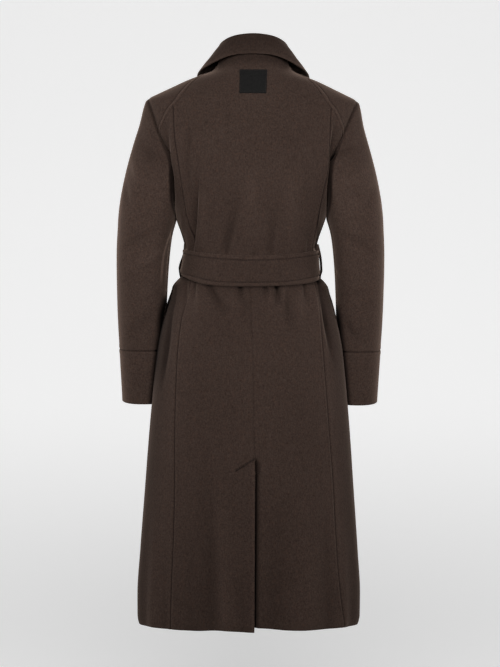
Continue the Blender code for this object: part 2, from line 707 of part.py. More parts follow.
def add_knot():
    # Soft box just in front of the belt
    mesh = bpy.data.meshes.new("belt_knot")
    shape = bmesh.new()
    bmesh.ops.create_uvsphere(shape, u_segments=18, v_segments=12, radius=1.0)
    front = float(coat_point(np.array([-math.pi / 2]), np.array([WAIST]))[0, 1]) + LIE + BELT_CLOTH
    for vert in shape.verts:
        soft = [math.copysign(abs(c) ** 0.62, c) for c in vert.co]
        vert.co.x = soft[0] * 0.034
        vert.co.y = front + 0.0035 + 0.013 + soft[1] * 0.013
        vert.co.z = WAIST + 0.002 + soft[2] * 0.038
    for face in shape.faces:
        face.smooth = True
    shape.to_mesh(mesh)
    shape.free()
    bpy.context.collection.objects.link(bpy.data.objects.new("belt_knot", mesh))


def add_loop(side, word):
    # Narrow strip that leaves the side seam, passes over the belt and comes back to it
    z = np.array([place.z for place in LOOP])
    bulge = np.array([place.bulge for place in LOOP])
    angle = turned(0.0 * z, side)
    path = coat_point(angle, z)
    path[:, 0] += side * bulge
    path[:, 1] = path[:, 1].mean()
    run = unit(np.gradient(path, axis=0))
    out = np.stack([-run[:, 2], 0 * z, run[:, 0]], -1)
    out = out * np.sign(out[:, :1] * side)
    across = np.array([-0.5, 0.0, 0.5])[None, :, None] * np.array([0.0, LOOP_WIDTH, 0.0])
    inner = path[:, None] + across
    add_wall("belt_loop_" + word, inner + out[:, None] * LOOP_CLOTH, inner)


def add_patch():
    level = np.linspace(PATCH_LEVELS[0], PATCH_LEVELS[1], 5)
    add_panel("nape_patch", level, lambda z: angle_at(PATCH_HALF + 0 * z, z, 1),
              lambda z: angle_at(-PATCH_HALF + 0 * z, z, 1), 5, lift=LIE, thick=PATCH_CLOTH, sewn=False)


def add_material():
    wool = bpy.data.materials.new("wool")
    wool.use_nodes = True
    shader = wool.node_tree.nodes["Principled BSDF"]
    shader.inputs["Base Color"].default_value = (0.046, 0.032, 0.026, 1.0)
    shader.inputs["Roughness"].default_value = 0.85
    patch = bpy.data.materials.new("patch")
    patch.use_nodes = True
    shader = patch.node_tree.nodes["Principled BSDF"]
    shader.inputs["Base Color"].default_value = (0.017, 0.016, 0.015, 1.0)
    shader.inputs["Roughness"].default_value = 0.6
    for piece in bpy.context.collection.objects:
        piece.data.materials.append(patch if piece.name == "nape_patch" else wool)


for old in list(bpy.data.objects):
    bpy.data.objects.remove(old, do_unlink=True)

add_panel("back_upper", rows_between(WAIST, NAPE), back_edge(1), back_edge(-1), 18)
add_panel("back_skirt_left", rows_between(HEM, WAIST), centre_back, princess(-1), 11, shift=vent_drop)
add_panel("back_skirt_right", rows_between(HEM, WAIST), princess(1), vent_edge, 12, layer=vent_under,
          shift=vent_rise)
for sign, word in ((1, "right"), (-1, "left")):
    under = front_under if sign < 0 else None
    add_panel("side_back_" + word, rows_between(HEM, YOKE_POINT), side_back_edge(sign), princess(sign), 5)
    add_panel("yoke_" + word, rows_between(YOKE_END, NECK), yoke_back_edge(sign), yoke_top_edge(sign), 5)
    add_panel("front_upper_" + word, rows_between(WAIST, NECK), front_inner_edge(sign), front_seam_edge(sign),
              8, layer=under)
    add_panel("front_skirt_" + word, rows_between(HEM, WAIST), front_inner_edge(sign), front_seam_edge(sign),
              8, layer=under)
    add_panel("side_front_" + word, rows_between(HEM, FRONT_POINT), front_princess(sign),
              front_outer_edge(sign), 5, layer=under)
    add_lapel(sign, word, under)
    add_sleeve(sign, word)
    add_tail(sign, word)
    add_loop(sign, word)
add_collar()
add_belt()
add_knot()
add_patch()
add_material()
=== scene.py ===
import math

import bpy
import numpy as np
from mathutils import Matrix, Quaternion, Vector


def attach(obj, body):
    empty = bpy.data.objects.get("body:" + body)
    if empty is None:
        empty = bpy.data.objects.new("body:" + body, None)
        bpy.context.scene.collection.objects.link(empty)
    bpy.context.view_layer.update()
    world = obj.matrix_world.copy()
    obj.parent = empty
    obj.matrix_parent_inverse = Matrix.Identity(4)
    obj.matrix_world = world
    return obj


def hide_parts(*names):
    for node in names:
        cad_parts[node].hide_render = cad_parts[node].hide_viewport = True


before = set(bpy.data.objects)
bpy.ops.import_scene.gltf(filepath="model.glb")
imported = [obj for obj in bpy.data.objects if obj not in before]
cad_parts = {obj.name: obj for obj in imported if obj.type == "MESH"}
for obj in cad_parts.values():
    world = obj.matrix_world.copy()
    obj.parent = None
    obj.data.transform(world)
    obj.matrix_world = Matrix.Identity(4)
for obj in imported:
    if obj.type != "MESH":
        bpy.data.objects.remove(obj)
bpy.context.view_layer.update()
print("frame:", len(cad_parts), "nodes")

# metres, +Z up, the back of the coat faces -Y, its right side is +X
levels = {
    "hem": -1.150, "ventTop": -0.812, "skirtMiddle": -0.600, "waist": -0.424, "lapelBreak": -0.345,
    "armpit": -0.300, "frontPoint": -0.212, "yokeEnd": -0.150, "yokePoint": -0.096, "shoulderTip": -0.078,
    "neck": -0.012, "neckTop": -0.006, "nape": 0.024, "underBack": -0.293, "underFront": -0.235,
    "sleeveRing": -0.330, "secondRing": -0.385, "cuffSeam": -0.591, "cuffHem": -0.700,
}
cloth = {
    "thick": 0.0026,          # body and sleeves
    "gap": -0.0008,           # neighbours overlap down in the seam groove
    "seamDrop": 0.0011,       # cloth rolls in at a seam
    "seamWide": 0.0026,
    "seamShade": 0.66,         # painted shade line in the groove
    "darkWide": 0.0016,
    "seamHighlight": 0.06,         # faint painted highlight beside it
    "paleAt": 0.0040,
    "paleWide": 0.0014,
    "yokeFade": 0.85,         # a seam fades past the yoke seam, and where the skirt gathers
    "gatherFade": 0.75,
    "gatherAt": -0.475,
    "gatherWide": 0.035,
    "allowance": 0.011,       # pressed seam allowance under the cloth
    "allowanceRise": 0.0005,
    "runOn": 0.0025,          # a panel runs on inside the sleeve
    "hemTurn": 0.042,         # turned-up hem inside
    "hemExtra": 0.0018,
    "hemCurl": 0.0034,        # the hem turns in
    "step": 0.0036,           # grid step
    "troughShade": 36.0,       # painted shade per metre of trough depth
    # painted highlight per metre of ridge height
    "ridgeHighlight": 22.0,
}
waistband = {
    "top": -0.384, "wide": 0.064, "lie": 0.0008, "thick": 0.0040, "stitchIn": 0.0088,
    "sag": 0.009,             # the waist hangs lower at the centre back
    "sagOver": 0.080,
    "puff": 0.0016,           # the skirt swells below the belt
    "dip": 0.0035,            # the belt itself lies lower at the back
    "drawnUp": 0.0050,        # its lower edge is drawn up at the left
    "shade": 0.55,            # painted shadow below it
    "shadeFade": 0.004,
}
sides = ((1, "right"), (-1, "left"))

# sections of the body: level, half width, back, front, middle, squareness
bodySections = np.array([
    (-1.150, 0.2290, 0.190, 0.176, -0.020, 2.15),
    (-1.090, 0.2295, 0.186, 0.174, -0.021, 2.15),
    (-1.000, 0.2240, 0.181, 0.170, -0.022, 2.15),
    (-0.877, 0.2150, 0.173, 0.165, -0.024, 2.15),
    (-0.754, 0.2060, 0.164, 0.160, -0.026, 2.20),
    (-0.650, 0.1965, 0.156, 0.155, -0.027, 2.20),
    (-0.584, 0.1890, 0.150, 0.151, -0.026, 2.20),
    (-0.539, 0.1805, 0.142, 0.145, -0.022, 2.20),
    (-0.508, 0.1730, 0.133, 0.139, -0.017, 2.25),
    (-0.488, 0.1675, 0.127, 0.135, -0.013, 2.25),
    (-0.468, 0.1612, 0.119, 0.129, -0.008, 2.30),
    (-0.459, 0.1580, 0.112, 0.123, -0.006, 2.30),
    (-0.451, 0.1535, 0.106, 0.119, -0.005, 2.30),
    (-0.445, 0.1478, 0.103, 0.116, -0.005, 2.30),
    (-0.439, 0.1405, 0.101, 0.115, -0.004, 2.30),
    (-0.385, 0.1350, 0.098, 0.111, 0.000, 2.30),
    (-0.365, 0.1390, 0.101, 0.116, 0.000, 2.30),
    (-0.324, 0.1530, 0.109, 0.129, 0.002, 2.30),
    (-0.300, 0.1600, 0.1125, 0.135, 0.003, 2.30),
    (-0.240, 0.1850, 0.117, 0.137, 0.004, 2.25),
    (-0.180, 0.2100, 0.116, 0.127, 0.004, 2.15),
    (-0.125, 0.2260, 0.110, 0.110, 0.002, 2.05),
    (-0.080, 0.2190, 0.099, 0.094, 0.000, 2.00),
    (-0.077, 0.2150, 0.099, 0.094, 0.000, 2.00),
    (-0.070, 0.2007, 0.096, 0.091, 0.000, 2.00),
    (-0.055, 0.1699, 0.090, 0.083, 0.000, 2.00),
    (-0.040, 0.1390, 0.083, 0.076, 0.000, 2.00),
    (-0.012, 0.0780, 0.069, 0.060, 0.000, 2.00),
    (0.024, 0.0700, 0.060, 0.052, 0.000, 2.00),
])

# back princess seams, turned a little to the right as the skirt hangs: level, left, right
princessSeams = np.array([
    (-1.150, 0.1590, 0.1945), (-1.058, 0.1566, 0.1836), (-0.959, 0.1529, 0.1761), (-0.861, 0.1513, 0.1704),
    (-0.763, 0.1518, 0.1626), (-0.664, 0.1500, 0.1548), (-0.590, 0.1467, 0.1486), (-0.535, 0.1408, 0.1438),
    (-0.485, 0.1305, 0.1378), (-0.455, 0.1227, 0.1322), (-0.385, 0.1175, 0.1262), (-0.340, 0.1256, 0.1329),
    (-0.299, 0.1340, 0.1400), (-0.252, 0.1416, 0.1509), (-0.228, 0.1452, 0.1565), (-0.200, 0.1493, 0.1597),
    (-0.150, 0.1566, 0.1607), (-0.096, 0.1612, 0.1612)])
# other seams: level and distance from the centre line
centreSeam = [(-1.150, 0.0115), (-0.836, 0.0115), (-0.800, 0.0105), (-0.740, 0.0082), (-0.640, 0.0068),
              (-0.541, 0.0030), (-0.470, 0.0004), (-0.424, 0.0000)]
frontPrincess = [(-1.150, 0.1700), (-1.000, 0.1605), (-0.877, 0.1550), (-0.700, 0.1480), (-0.610, 0.1420),
                 (-0.530, 0.1330), (-0.470, 0.1210), (-0.385, 0.1130), (-0.300, 0.1270), (-0.250, 0.1420),
                 (-0.212, 0.1642)]
yokeSeam = [(-0.150, 0.1890), (-0.136, 0.1855), (-0.122, 0.1790), (-0.107, 0.1710), (-0.084, 0.1520),
            (-0.049, 0.1260), (-0.033, 0.1100), (-0.022, 0.0940), (-0.012, 0.0760), (-0.006, 0.0738)]
rollLine = [(-0.345, -0.0600), (-0.240, -0.0180), (-0.120, 0.0270), (-0.050, 0.0520), (-0.012, 0.0640)]
# armhole edge: level, back, front
armholes = np.array([
    (-0.300, 0.1600, 0.1600), (-0.283, 0.1605, 0.1590), (-0.262, 0.1615, 0.1595), (-0.240, 0.1630, 0.1610),
    (-0.218, 0.1662, 0.1640), (-0.197, 0.1715, 0.1685), (-0.175, 0.1790, 0.1740), (-0.150, 0.1890, 0.1815),
    (-0.125, 0.1985, 0.1905), (-0.100, 0.2080, 0.2020), (-0.078, 0.2165, 0.2165)])


# smooth step from 0 to 1: three t squared less two t cubed
def softStep(value):
    t = np.clip(value, 0.0, 1.0)
    return t * t * (3 - 2 * t)


# bell: e to the minus square of the distance over the width
def bell(away, wide):
    return np.exp(-(away / wide) ** 2)


def unitOf(vectors):      # vectors over their lengths
    return vectors / np.maximum(np.linalg.norm(vectors, axis=-1, keepdims=True), 1e-12)


# monotone cubic: Hermite spans whose end slopes are harmonic means of the slopes beside them
def through(keys, values):
    order = np.argsort(keys)
    keys = np.asarray(keys, float)[order]
    values = np.asarray(values, float)[order]
    step = np.diff(keys)
    slope = np.diff(values) / step
    first = 2 * step[1:] + step[:-1]
    second = step[1:] + 2 * step[:-1]
    sameWay = slope[:-1] * slope[1:] > 0
    low = np.where(sameWay, slope[:-1], 1.0)
    high = np.where(sameWay, slope[1:], 1.0)
    tangent = np.concatenate([[slope[0]], np.zeros(len(step) - 1), [slope[-1]]])
    tangent[1:-1] = np.where(sameWay, (first + second) / (first / low + second / high), 0.0)

    def value(at):
        at = np.clip(np.asarray(at, float), keys[0], keys[-1])
        i = np.clip(np.searchsorted(keys, at) - 1, 0, len(step) - 1)
        t = (at - keys[i]) / step[i]
        start = (1 + 2 * t) * (1 - t) ** 2 * values[i] + t * (1 - t) ** 2 * step[i] * tangent[i]
        end = t * t * (3 - 2 * t) * values[i + 1] + t * t * (t - 1) * step[i] * tangent[i + 1]
        return start + end

    return value


# the same curve sampled every half millimetre and averaged under a bell, so that light runs over it evenly
def evened(keys, values, spread=0.006):
    curve = through(keys, values)
    step = 0.0005
    at = np.arange(min(keys) - 4 * spread, max(keys) + 4 * spread, step)
    offset = np.arange(-4 * spread, 4 * spread, step)
    weight = np.exp(-0.5 * (offset / spread) ** 2)
    mean = np.convolve(np.pad(curve(at), len(offset), mode="edge"), weight / weight.sum(), mode="same")
    mean = mean[len(offset):-len(offset)]
    return lambda z: np.interp(z, at, mean)


# curves of a table's other columns over its first one
def curvesOf(table, make=through):
    table = np.array(table, float)
    return [make(table[:, 0], column) for column in table.T[1:]]


halfCut = curvesOf(bodySections)[0]
squareCut = curvesOf(bodySections)[4]
halfWidth = evened(bodySections[:, 0], bodySections[:, 1], 0.003)
backDepth, frontDepth, middleLine, squareness = curvesOf(bodySections, evened)[1:]
centreX, frontPrincessX, yokeX, rollX = [
    curvesOf(line)[0] for line in (centreSeam, frontPrincess, yokeSeam, rollLine)]
princessLeftX, princessRightX = curvesOf(princessSeams)
princessX = {1: princessRightX, -1: princessLeftX}
armholeX = dict(zip((1, -1), curvesOf(armholes)))


# superellipse at each level: angle 0 is the right side, 90 degrees the back; the waist sags at the centre
def bodyRing(angle, level):
    power = 2 / squareness(level)
    across = np.cos(angle)
    along = np.sin(angle)
    reach = np.where(along > 0, backDepth(level) + middleLine(level), frontDepth(level) - middleLine(level))
    x = halfWidth(level) * np.sign(across) * np.abs(across) ** power
    y = middleLine(level) - reach * np.sign(along) * np.abs(along) ** power
    dip = np.clip(along, 0, 1) ** 2 * np.exp(-((level - levels["waist"]) / waistband["sagOver"]) ** 4)
    return np.stack([x, y, level - waistband["sag"] * dip], -1)


# cross product of small steps up and around
def ringNormal(angle, level, turn=0.006, rise=0.0012):
    around = bodyRing(angle + turn, level) - bodyRing(angle - turn, level)
    upward = bodyRing(angle, level + rise) - bodyRing(angle, level - rise)
    return unitOf(np.cross(upward, around))


# angle of the point with this x on the back (face 1) or the front (face -1)
def angleAt(x, level, face):
    share = np.clip(x / halfCut(level), -1, 1)
    return face * np.arccos(np.sign(share) * np.abs(share) ** (squareCut(level) / 2))


# the left side mirrors the right one: half a turn less the angle
def turned(angle, side):
    return angle if side > 0 else math.pi - angle


# creases in millimetres: start, its level, end, its level, width at the start and at the end, height, share
# of the length where it is highest; then lean and bow where they aren't 0
backCreases = [
    # upper back
    (-104, -186, -123, -414, 6.6, 8.4, -11.5, 0.7, -0.45),
    (-132, -180, -124, -300, 6, 6, -3.2, 0.45, 0.2), (-92, -230, -102, -398, 9.2, 9.2, 4, 0.65),
    (-143, -290, -139, -392, 7, 6, 2.4, 0.75), (-14, -225, -56, -412, 10, 6.4, -7, 0.8, -0.3, -2),
    (4, -190, -6, -400, 24, 16, 6, 0.5), (82, -200, 84, -400, 18.4, 16, 5, 0.45),
    (58, -235, 40, -408, 12, 6, -4.2, 0.86, -0.3), (8.4, -368, 8, -408, 3.3, 4.1, -4, 0.75),
    (-130, -104, -126, -225.5, 6, 6.5, -3, 0.5), (-142, -106, -137, -222, 4.9, 4.9, 1.6, 0.5),
    (120, -330, 118, -404, 6.1, 5, -4, 0.8), (146, -240, 130, -380, 6, 6, 2.4, 0.7),
    # beside the armholes
    (171, -104, 163, -250, 6.6, 6, -9, 0.5, 0.4), (-174, -104, -168, -250, 8, 7, -6.5, 0.62, -0.35),
    # gathers under the belt
    (-129, -440, -135, -525, 5, 8, -3.6, 0.3), (-113, -440, -113, -505, 4.4, 7, -4.2, 0.3),
    (-94, -440, -40.5, -532, 7.4, 12.3, -7.5, 0.36), (-22, -440, -18, -496, 4.5, 8.2, -6.5, 0.35),
    (-14, -467.4, -8.5, -557.6, 9.2, 10.2, -2.6, 0.35), (29.8, -440, 31, -492, 4.5, 5.7, -4, 0.4),
    (51.7, -440, 59.6, -505, 4.1, 7.4, -9, 0.3, -0.2), (76, -450, 84, -575, 8.2, 12.3, -4.8, 0.4),
    (107.6, -440, 118, -510, 5.3, 8.2, -4.6, 0.35), (139.5, -452, 174, -640, 5, 8.5, -5, 0.45),
    (-156, -480, -181, -690, 7, 11.3, -3, 0.5), (-108, -448, -102.5, -552, 8.2, 12.3, 3, 0.38),
    (-38.8, -448, -27.5, -556, 8.2, 12.3, 2.8, 0.38), (41.1, -448, 43.5, -536, 7.4, 10.2, 3.4, 0.38),
    (66.7, -446, 68, -520, 6.1, 8.2, 2.8, 0.38), (94.4, -450, 101, -556, 7.4, 10.2, 3, 0.38),
    (129.3, -450, 142, -556, 6.6, 10.2, 2.8, 0.38),
    # long soft folds of the skirt
    (-69, -754.4, -36.5, -1348.9, 10.2, 14.3, 6.5, 0.62, 0.35, 4),
    (-88, -723.6, -73.5, -1348.9, 16.4, 20.5, -6.5, 0.6, -0.3),
    (-122, -897.9, -114, -1389.9, 18.4, 20.5, -4, 0.6),
    (-17.6, -897.9, -11.5, -1389.9, 12.3, 14.3, -3, 0.6),
    (55.4, -805.6, 52.1, -1389.9, 20.5, 24.6, -5, 0.6),
    (106.2, -754.4, 117.7, -1389.9, 20.5, 24.6, 5, 0.6),
    (147.5, -795.4, 173, -1389.9, 14.3, 18.4, -4, 0.6),
    (-190.4, -836.4, -202.1, -1389.9, 14.3, 18.4, 3, 0.6),
    (-165, -938.9, -171.4, -1389.9, 10.2, 12.3, -3, 0.6),
    (189.4, -897.9, 203.8, -1389.9, 12.3, 14.3, 3, 0.6),
]
frontCreases = [
    # from the armholes down to the belt
    (112, -238, 98, -392, 9, 11, -4.6, 0.75, 0, 3), (-114, -248, -100, -392, 9, 11, -4.4, 0.75, 0, -3),
    (86, -320, 74, -396, 6, 6.5, -3.4, 0.8), (-72, -330, -64, -396, 6, 6.5, -3.2, 0.8),
    (124, -300, 112, -392, 8, 9, 2.4, 0.75),
    # gathers under the belt
    (-92, -441, -106, -640, 6, 14, -6, 0.28), (90, -441, 110, -660, 6, 14, -6.2, 0.28),
    (-66, -441, -72, -520, 5, 8, -4.2, 0.3), (68, -441, 76, -536, 5, 9, -4, 0.32),
    (-118, -443, -140, -560, 6, 10, -4, 0.35), (119, -443, 138, -548, 6, 10, -4.4, 0.35),
    (-79, -452, -88, -556, 7, 11, 2.2, 0.4), (80, -452, 92, -566, 7, 11, 2.2, 0.4),
    # long soft folds of the skirt
    (-112, -720, -128, -1380, 22, 28, 4.6, 0.6), (118, -760, 132, -1380, 24, 28, 4.8, 0.6),
    (-66, -800, -70, -1380, 20, 24, -3.6, 0.6), (82, -780, 86, -1380, 18, 24, -3.8, 0.6),
    (20, -860, 26, -1380, 20, 26, 2.6, 0.6),
]
# the same on the two sides, placed by depth in place of width
rightCreases = [
    (-18, -441, -30, -560, 6, 10, -4.6, 0.32), (22, -441, 30, -590, 6, 11, -4.8, 0.34),
    (2, -452, 0, -590, 8, 12, 2.2, 0.4), (44, -441, 60, -530, 5, 9, -3.6, 0.34),
    (-16, -310, -22, -392, 7, 8, -3.4, 0.75), (24, -300, 28, -392, 7, 8, -3.2, 0.75),
    (34, -760, 48, -1380, 18, 24, -4, 0.6), (-60, -720, -74, -1380, 18, 24, 3.4, 0.6),
]
leftCreases = [
    (-24, -441, -34, -548, 6, 10, -4.6, 0.32), (16, -441, 26, -600, 6, 11, -4.6, 0.34),
    (-4, -452, -6, -580, 8, 12, 2.2, 0.4), (40, -441, 54, -540, 5, 9, -3.8, 0.34),
    (-12, -316, -20, -392, 7, 8, -3.2, 0.75), (28, -304, 30, -392, 7, 8, -3.4, 0.75),
    (38, -740, 44, -1380, 18, 24, -4, 0.6), (-56, -780, -70, -1380, 18, 24, 3, 0.6),
]


# sum of creases: each is a bell across a slightly bowed path, its width growing from start to end, its
# height swelling to a crest and fading at both ends
def creaseSum(rows, across, level, tilt):
    total = np.zeros_like(across)
    for row in rows:
        row = np.array((*row, 0, 0)[:10], float)      # lean and bow are 0 where they aren't given
        start, top, end, low, wideTop, wideEnd, height = row[:7] / 1000
        crest, lean, bow = row[7], row[8], row[9] / 1000
        share = (top - level) / (top - low)
        inside = np.clip(share, 0, 1)
        path = start + (end - start) * inside + 4 * bow * inside * (1 - inside)
        away = (across - path) / tilt / math.hypot(1, (end - start) / (top - low))
        wide = wideTop + (wideEnd - wideTop) * inside
        wide = wide * (1 + lean * np.tanh(away / wide))
        swell = softStep(share / crest) * softStep((1 - share) / (1 - crest))
        total += height * swell * bell(away, wide)
    return total


# all creases on the body, by the way the cloth faces
def bodyCreases(plain, normal):
    x, y, z = np.moveaxis(plain, -1, 0)
    total = np.zeros_like(x)
    for rows, across, facing in ((backCreases, x, -normal[..., 1]), (frontCreases, x, normal[..., 1]),
                                 (rightCreases, y, normal[..., 0]), (leftCreases, y, -normal[..., 0])):
        total += creaseSum(rows, across, z, np.maximum(facing, 0.35)) * softStep(facing * 2.4 - 0.2)
    return total


# ridges lie flat under the belt, troughs fade just behind its edges, and the skirt puffs out below it
def bodyRelief(creases, z):
    top = waistband["top"]
    low = top - waistband["wide"]
    flat = softStep((z - low + 0.022) / 0.012) * softStep((top + 0.010 - z) / 0.012)
    deep = softStep((z - low + 0.004) / 0.016) * softStep((top - 0.008 - z) / 0.016)
    puff = waistband["puff"] * bell(z - low + 0.013, 0.008)
    curl = cloth["hemCurl"] * np.clip(1 - (z - levels["hem"]) / 0.016, 0, 1) ** 2
    return np.minimum(creases, 0) * (1 - deep) + np.maximum(creases, 0) * (1 - flat) + puff - curl


# painted shade in a trough and painted highlight on a ridge, by depth and height
def paintedCreaseShade(creases):
    return np.clip(creases * np.where(creases < 0, cloth["troughShade"], cloth["ridgeHighlight"]), -0.5, 0.2)


# painted shade: a dark bell in the seam's groove; painted highlight: a faint pale bell beside it
def seamShadeAndHighlight(away):
    line = -cloth["seamShade"] * bell(away, cloth["darkWide"])
    return line + cloth["seamHighlight"] * bell(away - cloth["paleAt"], cloth["paleWide"])


# cloth rolls in at a seam and stands a little proud over the pressed allowance beside it
def seamRelief(away):
    roll = -cloth["seamDrop"] * bell(away, cloth["seamWide"])
    return roll + cloth["allowanceRise"] * softStep((cloth["allowance"] - away) / 0.004)


rimSteps = np.array([0.0, 0.00025, 0.0007, 0.0013, 0.0026, 0.0046])


# shares from 0 to 1 along each length: close steps at both ends, even steps between
def rimShares(count, lengths):
    lengths = np.maximum(np.atleast_1d(np.asarray(lengths, float)), 1e-5)
    squeeze = np.minimum(1, lengths / (2 * rimSteps[-1] + 0.004))
    start = rimSteps[:, None] * squeeze / lengths
    middle = np.linspace(0, 1, count + 2)[1:-1, None]
    return np.concatenate([start, start[-1] + (1 - 2 * start[-1]) * middle, 1 - start[::-1]])


# levels from low to high in stretches of their own step, close together at both ends
def levelRows(*stretches, keep=()):
    low = stretches[0][0]
    high = stretches[-1][1]
    rows = [np.linspace(a, b, max(2, int(round((b - a) / step)) + 1)) for a, b, step in stretches]
    rows = np.concatenate(rows + [np.array(keep, float)])
    rows = rows[(rows > low + rimSteps[-1] * 1.4) & (rows < high - rimSteps[-1] * 1.4)]
    return np.unique(np.round(np.concatenate([low + rimSteps, rows, high - rimSteps]), 6))


# cross product of the steps along and across a grid
def gridNormal(grid, ring=False):
    along = np.gradient(grid, axis=0)
    across = np.roll(grid, -1, 1) - np.roll(grid, 1, 1) if ring else np.gradient(grid, axis=1)
    return unitOf(np.cross(along, across))


# length of cloth from the start and to the end, along one axis of a grid
def runLength(grid, axis):
    step = np.linalg.norm(np.diff(grid, axis=axis), axis=-1)
    start = np.cumsum(step, axis)
    pad = [(1, 0) if a == axis else (0, 0) for a in range(2)]
    start = np.pad(start, pad)
    return start, np.take(start, [-1], axis) - start


pieceLog = {}


posture = {"liftLeft": 0.0036, "liftRight": 0.0012, "across": 0.0038}


# the shoulders hang a little to the right of the hem, the left one higher than the right
def leaned(points):
    x, z = points[:, 0], points[:, 2]
    lift = np.where(x < 0, posture["liftLeft"], posture["liftRight"]) * softStep((np.abs(x) - 0.060) / 0.060)
    lift = lift * softStep((z + 0.140) / 0.050)
    across = posture["across"] * softStep((z + 0.17) / 0.15)
    return points + np.stack([across, 0 * lift, lift], -1)


# the attribute tone is painted shade (below 0) in folds, seams and gaps, painted highlight (above 0) on
# edges
def layMesh(name, points, quads, material, tone=None):
    tri = np.concatenate([quads[:, [0, 1, 2]], quads[:, [0, 2, 3]]])
    a, b, c = (points[tri[:, i]] for i in range(3))
    if np.sum(np.cross(a, b) * c) < 0:   # signed volume tells which way the faces look
        quads = quads[:, ::-1]
    mesh = bpy.data.meshes.new(name)
    mesh.vertices.add(len(points))
    mesh.vertices.foreach_set("co", np.ascontiguousarray(leaned(points), np.float32).ravel())
    mesh.loops.add(quads.size)
    mesh.loops.foreach_set("vertex_index", np.ascontiguousarray(quads, np.int32).ravel())
    mesh.polygons.add(len(quads))
    mesh.polygons.foreach_set("loop_start", np.arange(0, quads.size, 4, dtype=np.int32))
    mesh.polygons.foreach_set("use_smooth", np.ones(len(quads), bool))
    mesh.update(calc_edges=True)
    mesh.validate()
    mesh.materials.append(material)
    if tone is not None:
        mesh.attributes.new("tone", "FLOAT", "POINT").data.foreach_set("value", np.asarray(tone, np.float32))
    piece = bpy.data.objects.new(name, mesh)
    bpy.context.collection.objects.link(piece)
    pieceLog[name] = 2 * len(quads)
    return piece


# quads between the neighbours of a grid of point numbers
def quadsOf(index, ring=False):
    if ring:
        index = np.concatenate([index, index[:, :1]], 1)
    return np.stack([index[:-1, :-1], index[:-1, 1:], index[1:, 1:], index[1:, :-1]], -1).reshape(-1, 4)


# strip of quads that closes a ring of points
def capOf(ring):
    i = np.arange(len(ring) // 2 - 1)
    return np.stack([ring[i], ring[i + 1], ring[-2 - i], ring[-1 - i]], -1)


# closed thin wall under an outer grid: both skins draw together to a half round at every edge
def clothShell(name, outer, outward, material, thick, extra=0.0, ring=False, tone=0.0):
    normal = gridNormal(outer, ring)
    normal = normal * np.sign(np.sum(normal * outward))
    away = np.minimum(*runLength(outer, 0))
    if not ring:
        away = np.minimum(away, np.minimum(*runLength(outer, 1)))
    half = thick / 2
    rounding = np.sqrt(np.clip(1 - (1 - np.clip(away / (half * 0.5), 0, 1)) ** 2, 0, 1))[..., None]
    middle = outer - normal * half
    top = middle + normal * half * rounding
    under = middle - normal * (half + np.asarray(extra)[..., None]) * rounding
    rows, columns = outer.shape[:2]
    index = np.arange(rows * columns).reshape(rows, columns)
    border = np.zeros((rows, columns), bool)
    border[[0, -1]] = True
    if not ring:
        border[:, [0, -1]] = True
    inner = index.copy()
    inner[~border] = rows * columns + np.arange((~border).sum())
    points = np.concatenate([top.reshape(-1, 3), under[~border]])
    quads = np.concatenate([quadsOf(index, ring), quadsOf(inner, ring)[:, ::-1]])
    tone = tone + np.zeros((rows, columns))
    return layMesh(name, points, quads, material, np.concatenate([tone.ravel(), tone[~border]]))


# short thread stitches along a path: each is a small arched capsule that dips into the cloth at its ends
def stitchRun(name, path, outward, material, size):
    step = np.linalg.norm(np.diff(path, axis=0), axis=-1)
    run = np.concatenate([[0], np.cumsum(step)])
    pitch = size["long"] + size["space"]
    count = max(1, int(run[-1] / pitch))
    centre = (np.arange(count) + 0.5) * run[-1] / count

    def along(values, at):
        return np.stack([np.interp(at, run, values[:, k]) for k in range(3)], -1)

    place = along(path, centre)
    tangent = unitOf(along(path, centre + 0.0008) - along(path, centre - 0.0008))
    lift = unitOf(along(outward, centre))
    side = unitOf(np.cross(tangent, lift))
    lift = np.cross(side, tangent)
    slide = np.linspace(-1, 1, 7)
    body = np.sqrt(np.clip(1 - slide ** 4, 0.02, 1)) * size["radius"]
    arch = size["radius"] * 1.1 * (1 - slide ** 2) - size["sink"]
    turn = np.arange(6) * math.pi / 3
    local = place[:, None, None] + tangent[:, None, None] * (slide * size["long"] / 2)[:, None, None]
    local = local + side[:, None, None] * (body[:, None] * np.cos(turn))[..., None]
    local = local + lift[:, None, None] * (arch[:, None] + body[:, None] * np.sin(turn))[..., None]
    index = np.arange(7 * 6).reshape(7, 6)
    one = np.concatenate([quadsOf(index, True), index[0][[[3, 2, 1, 0], [5, 4, 3, 0]]],
                          index[-1][[[0, 1, 2, 3], [0, 3, 4, 5]]]])
    quads = (one[None] + (np.arange(count) * 42)[:, None, None]).reshape(-1, 4)
    return layMesh(name, local.reshape(-1, 3), quads, material)


print("tools ready")


# wool: two browns mixed by fine, middle and broad noise with short upright streaks of nap, over a fine bump;
# layers: scale, detail, share
wool = {
    "dark": (0.0123, 0.0076, 0.0059), "light": (0.0380, 0.0258, 0.0209), "warm": (0.0410, 0.0226, 0.0162),
    "layers": {"fine": (900.0, 2.0, 0.60), "middle": (330.0, 3.0, 1.30), "nap": (520.0, 2.0, 0.85),
               "broad": (7.0, 3.0, 0.30)},
    "layerRough": 0.6, "napSquash": 0.28,
    "fleck": 240.0, "fleckFrom": 0.50, "fleckTo": 0.85, "fleckShare": 0.5,
    "rough": 0.95, "gloss": 0.02, "sheen": 0.14, "sheenRough": 0.40, "sheenTint": (0.80, 0.58, 0.47),
    "bump": 0.45, "bumpDeep": 0.0009,
}


# an input that is given another node's output is linked to it, and any other value is set on it
def fillNode(tree, node, inputs):
    for key, value in inputs.items():
        if isinstance(value, bpy.types.NodeSocket):
            tree.links.new(value, node.inputs[key])
        else:
            node.inputs[key].default_value = value


# new node with its settings and inputs
def nodeOf(tree, kind, inputs, **settings):
    node = tree.nodes.new(kind)
    for key, value in settings.items():
        setattr(node, key, value)
    fillNode(tree, node, inputs)
    return node


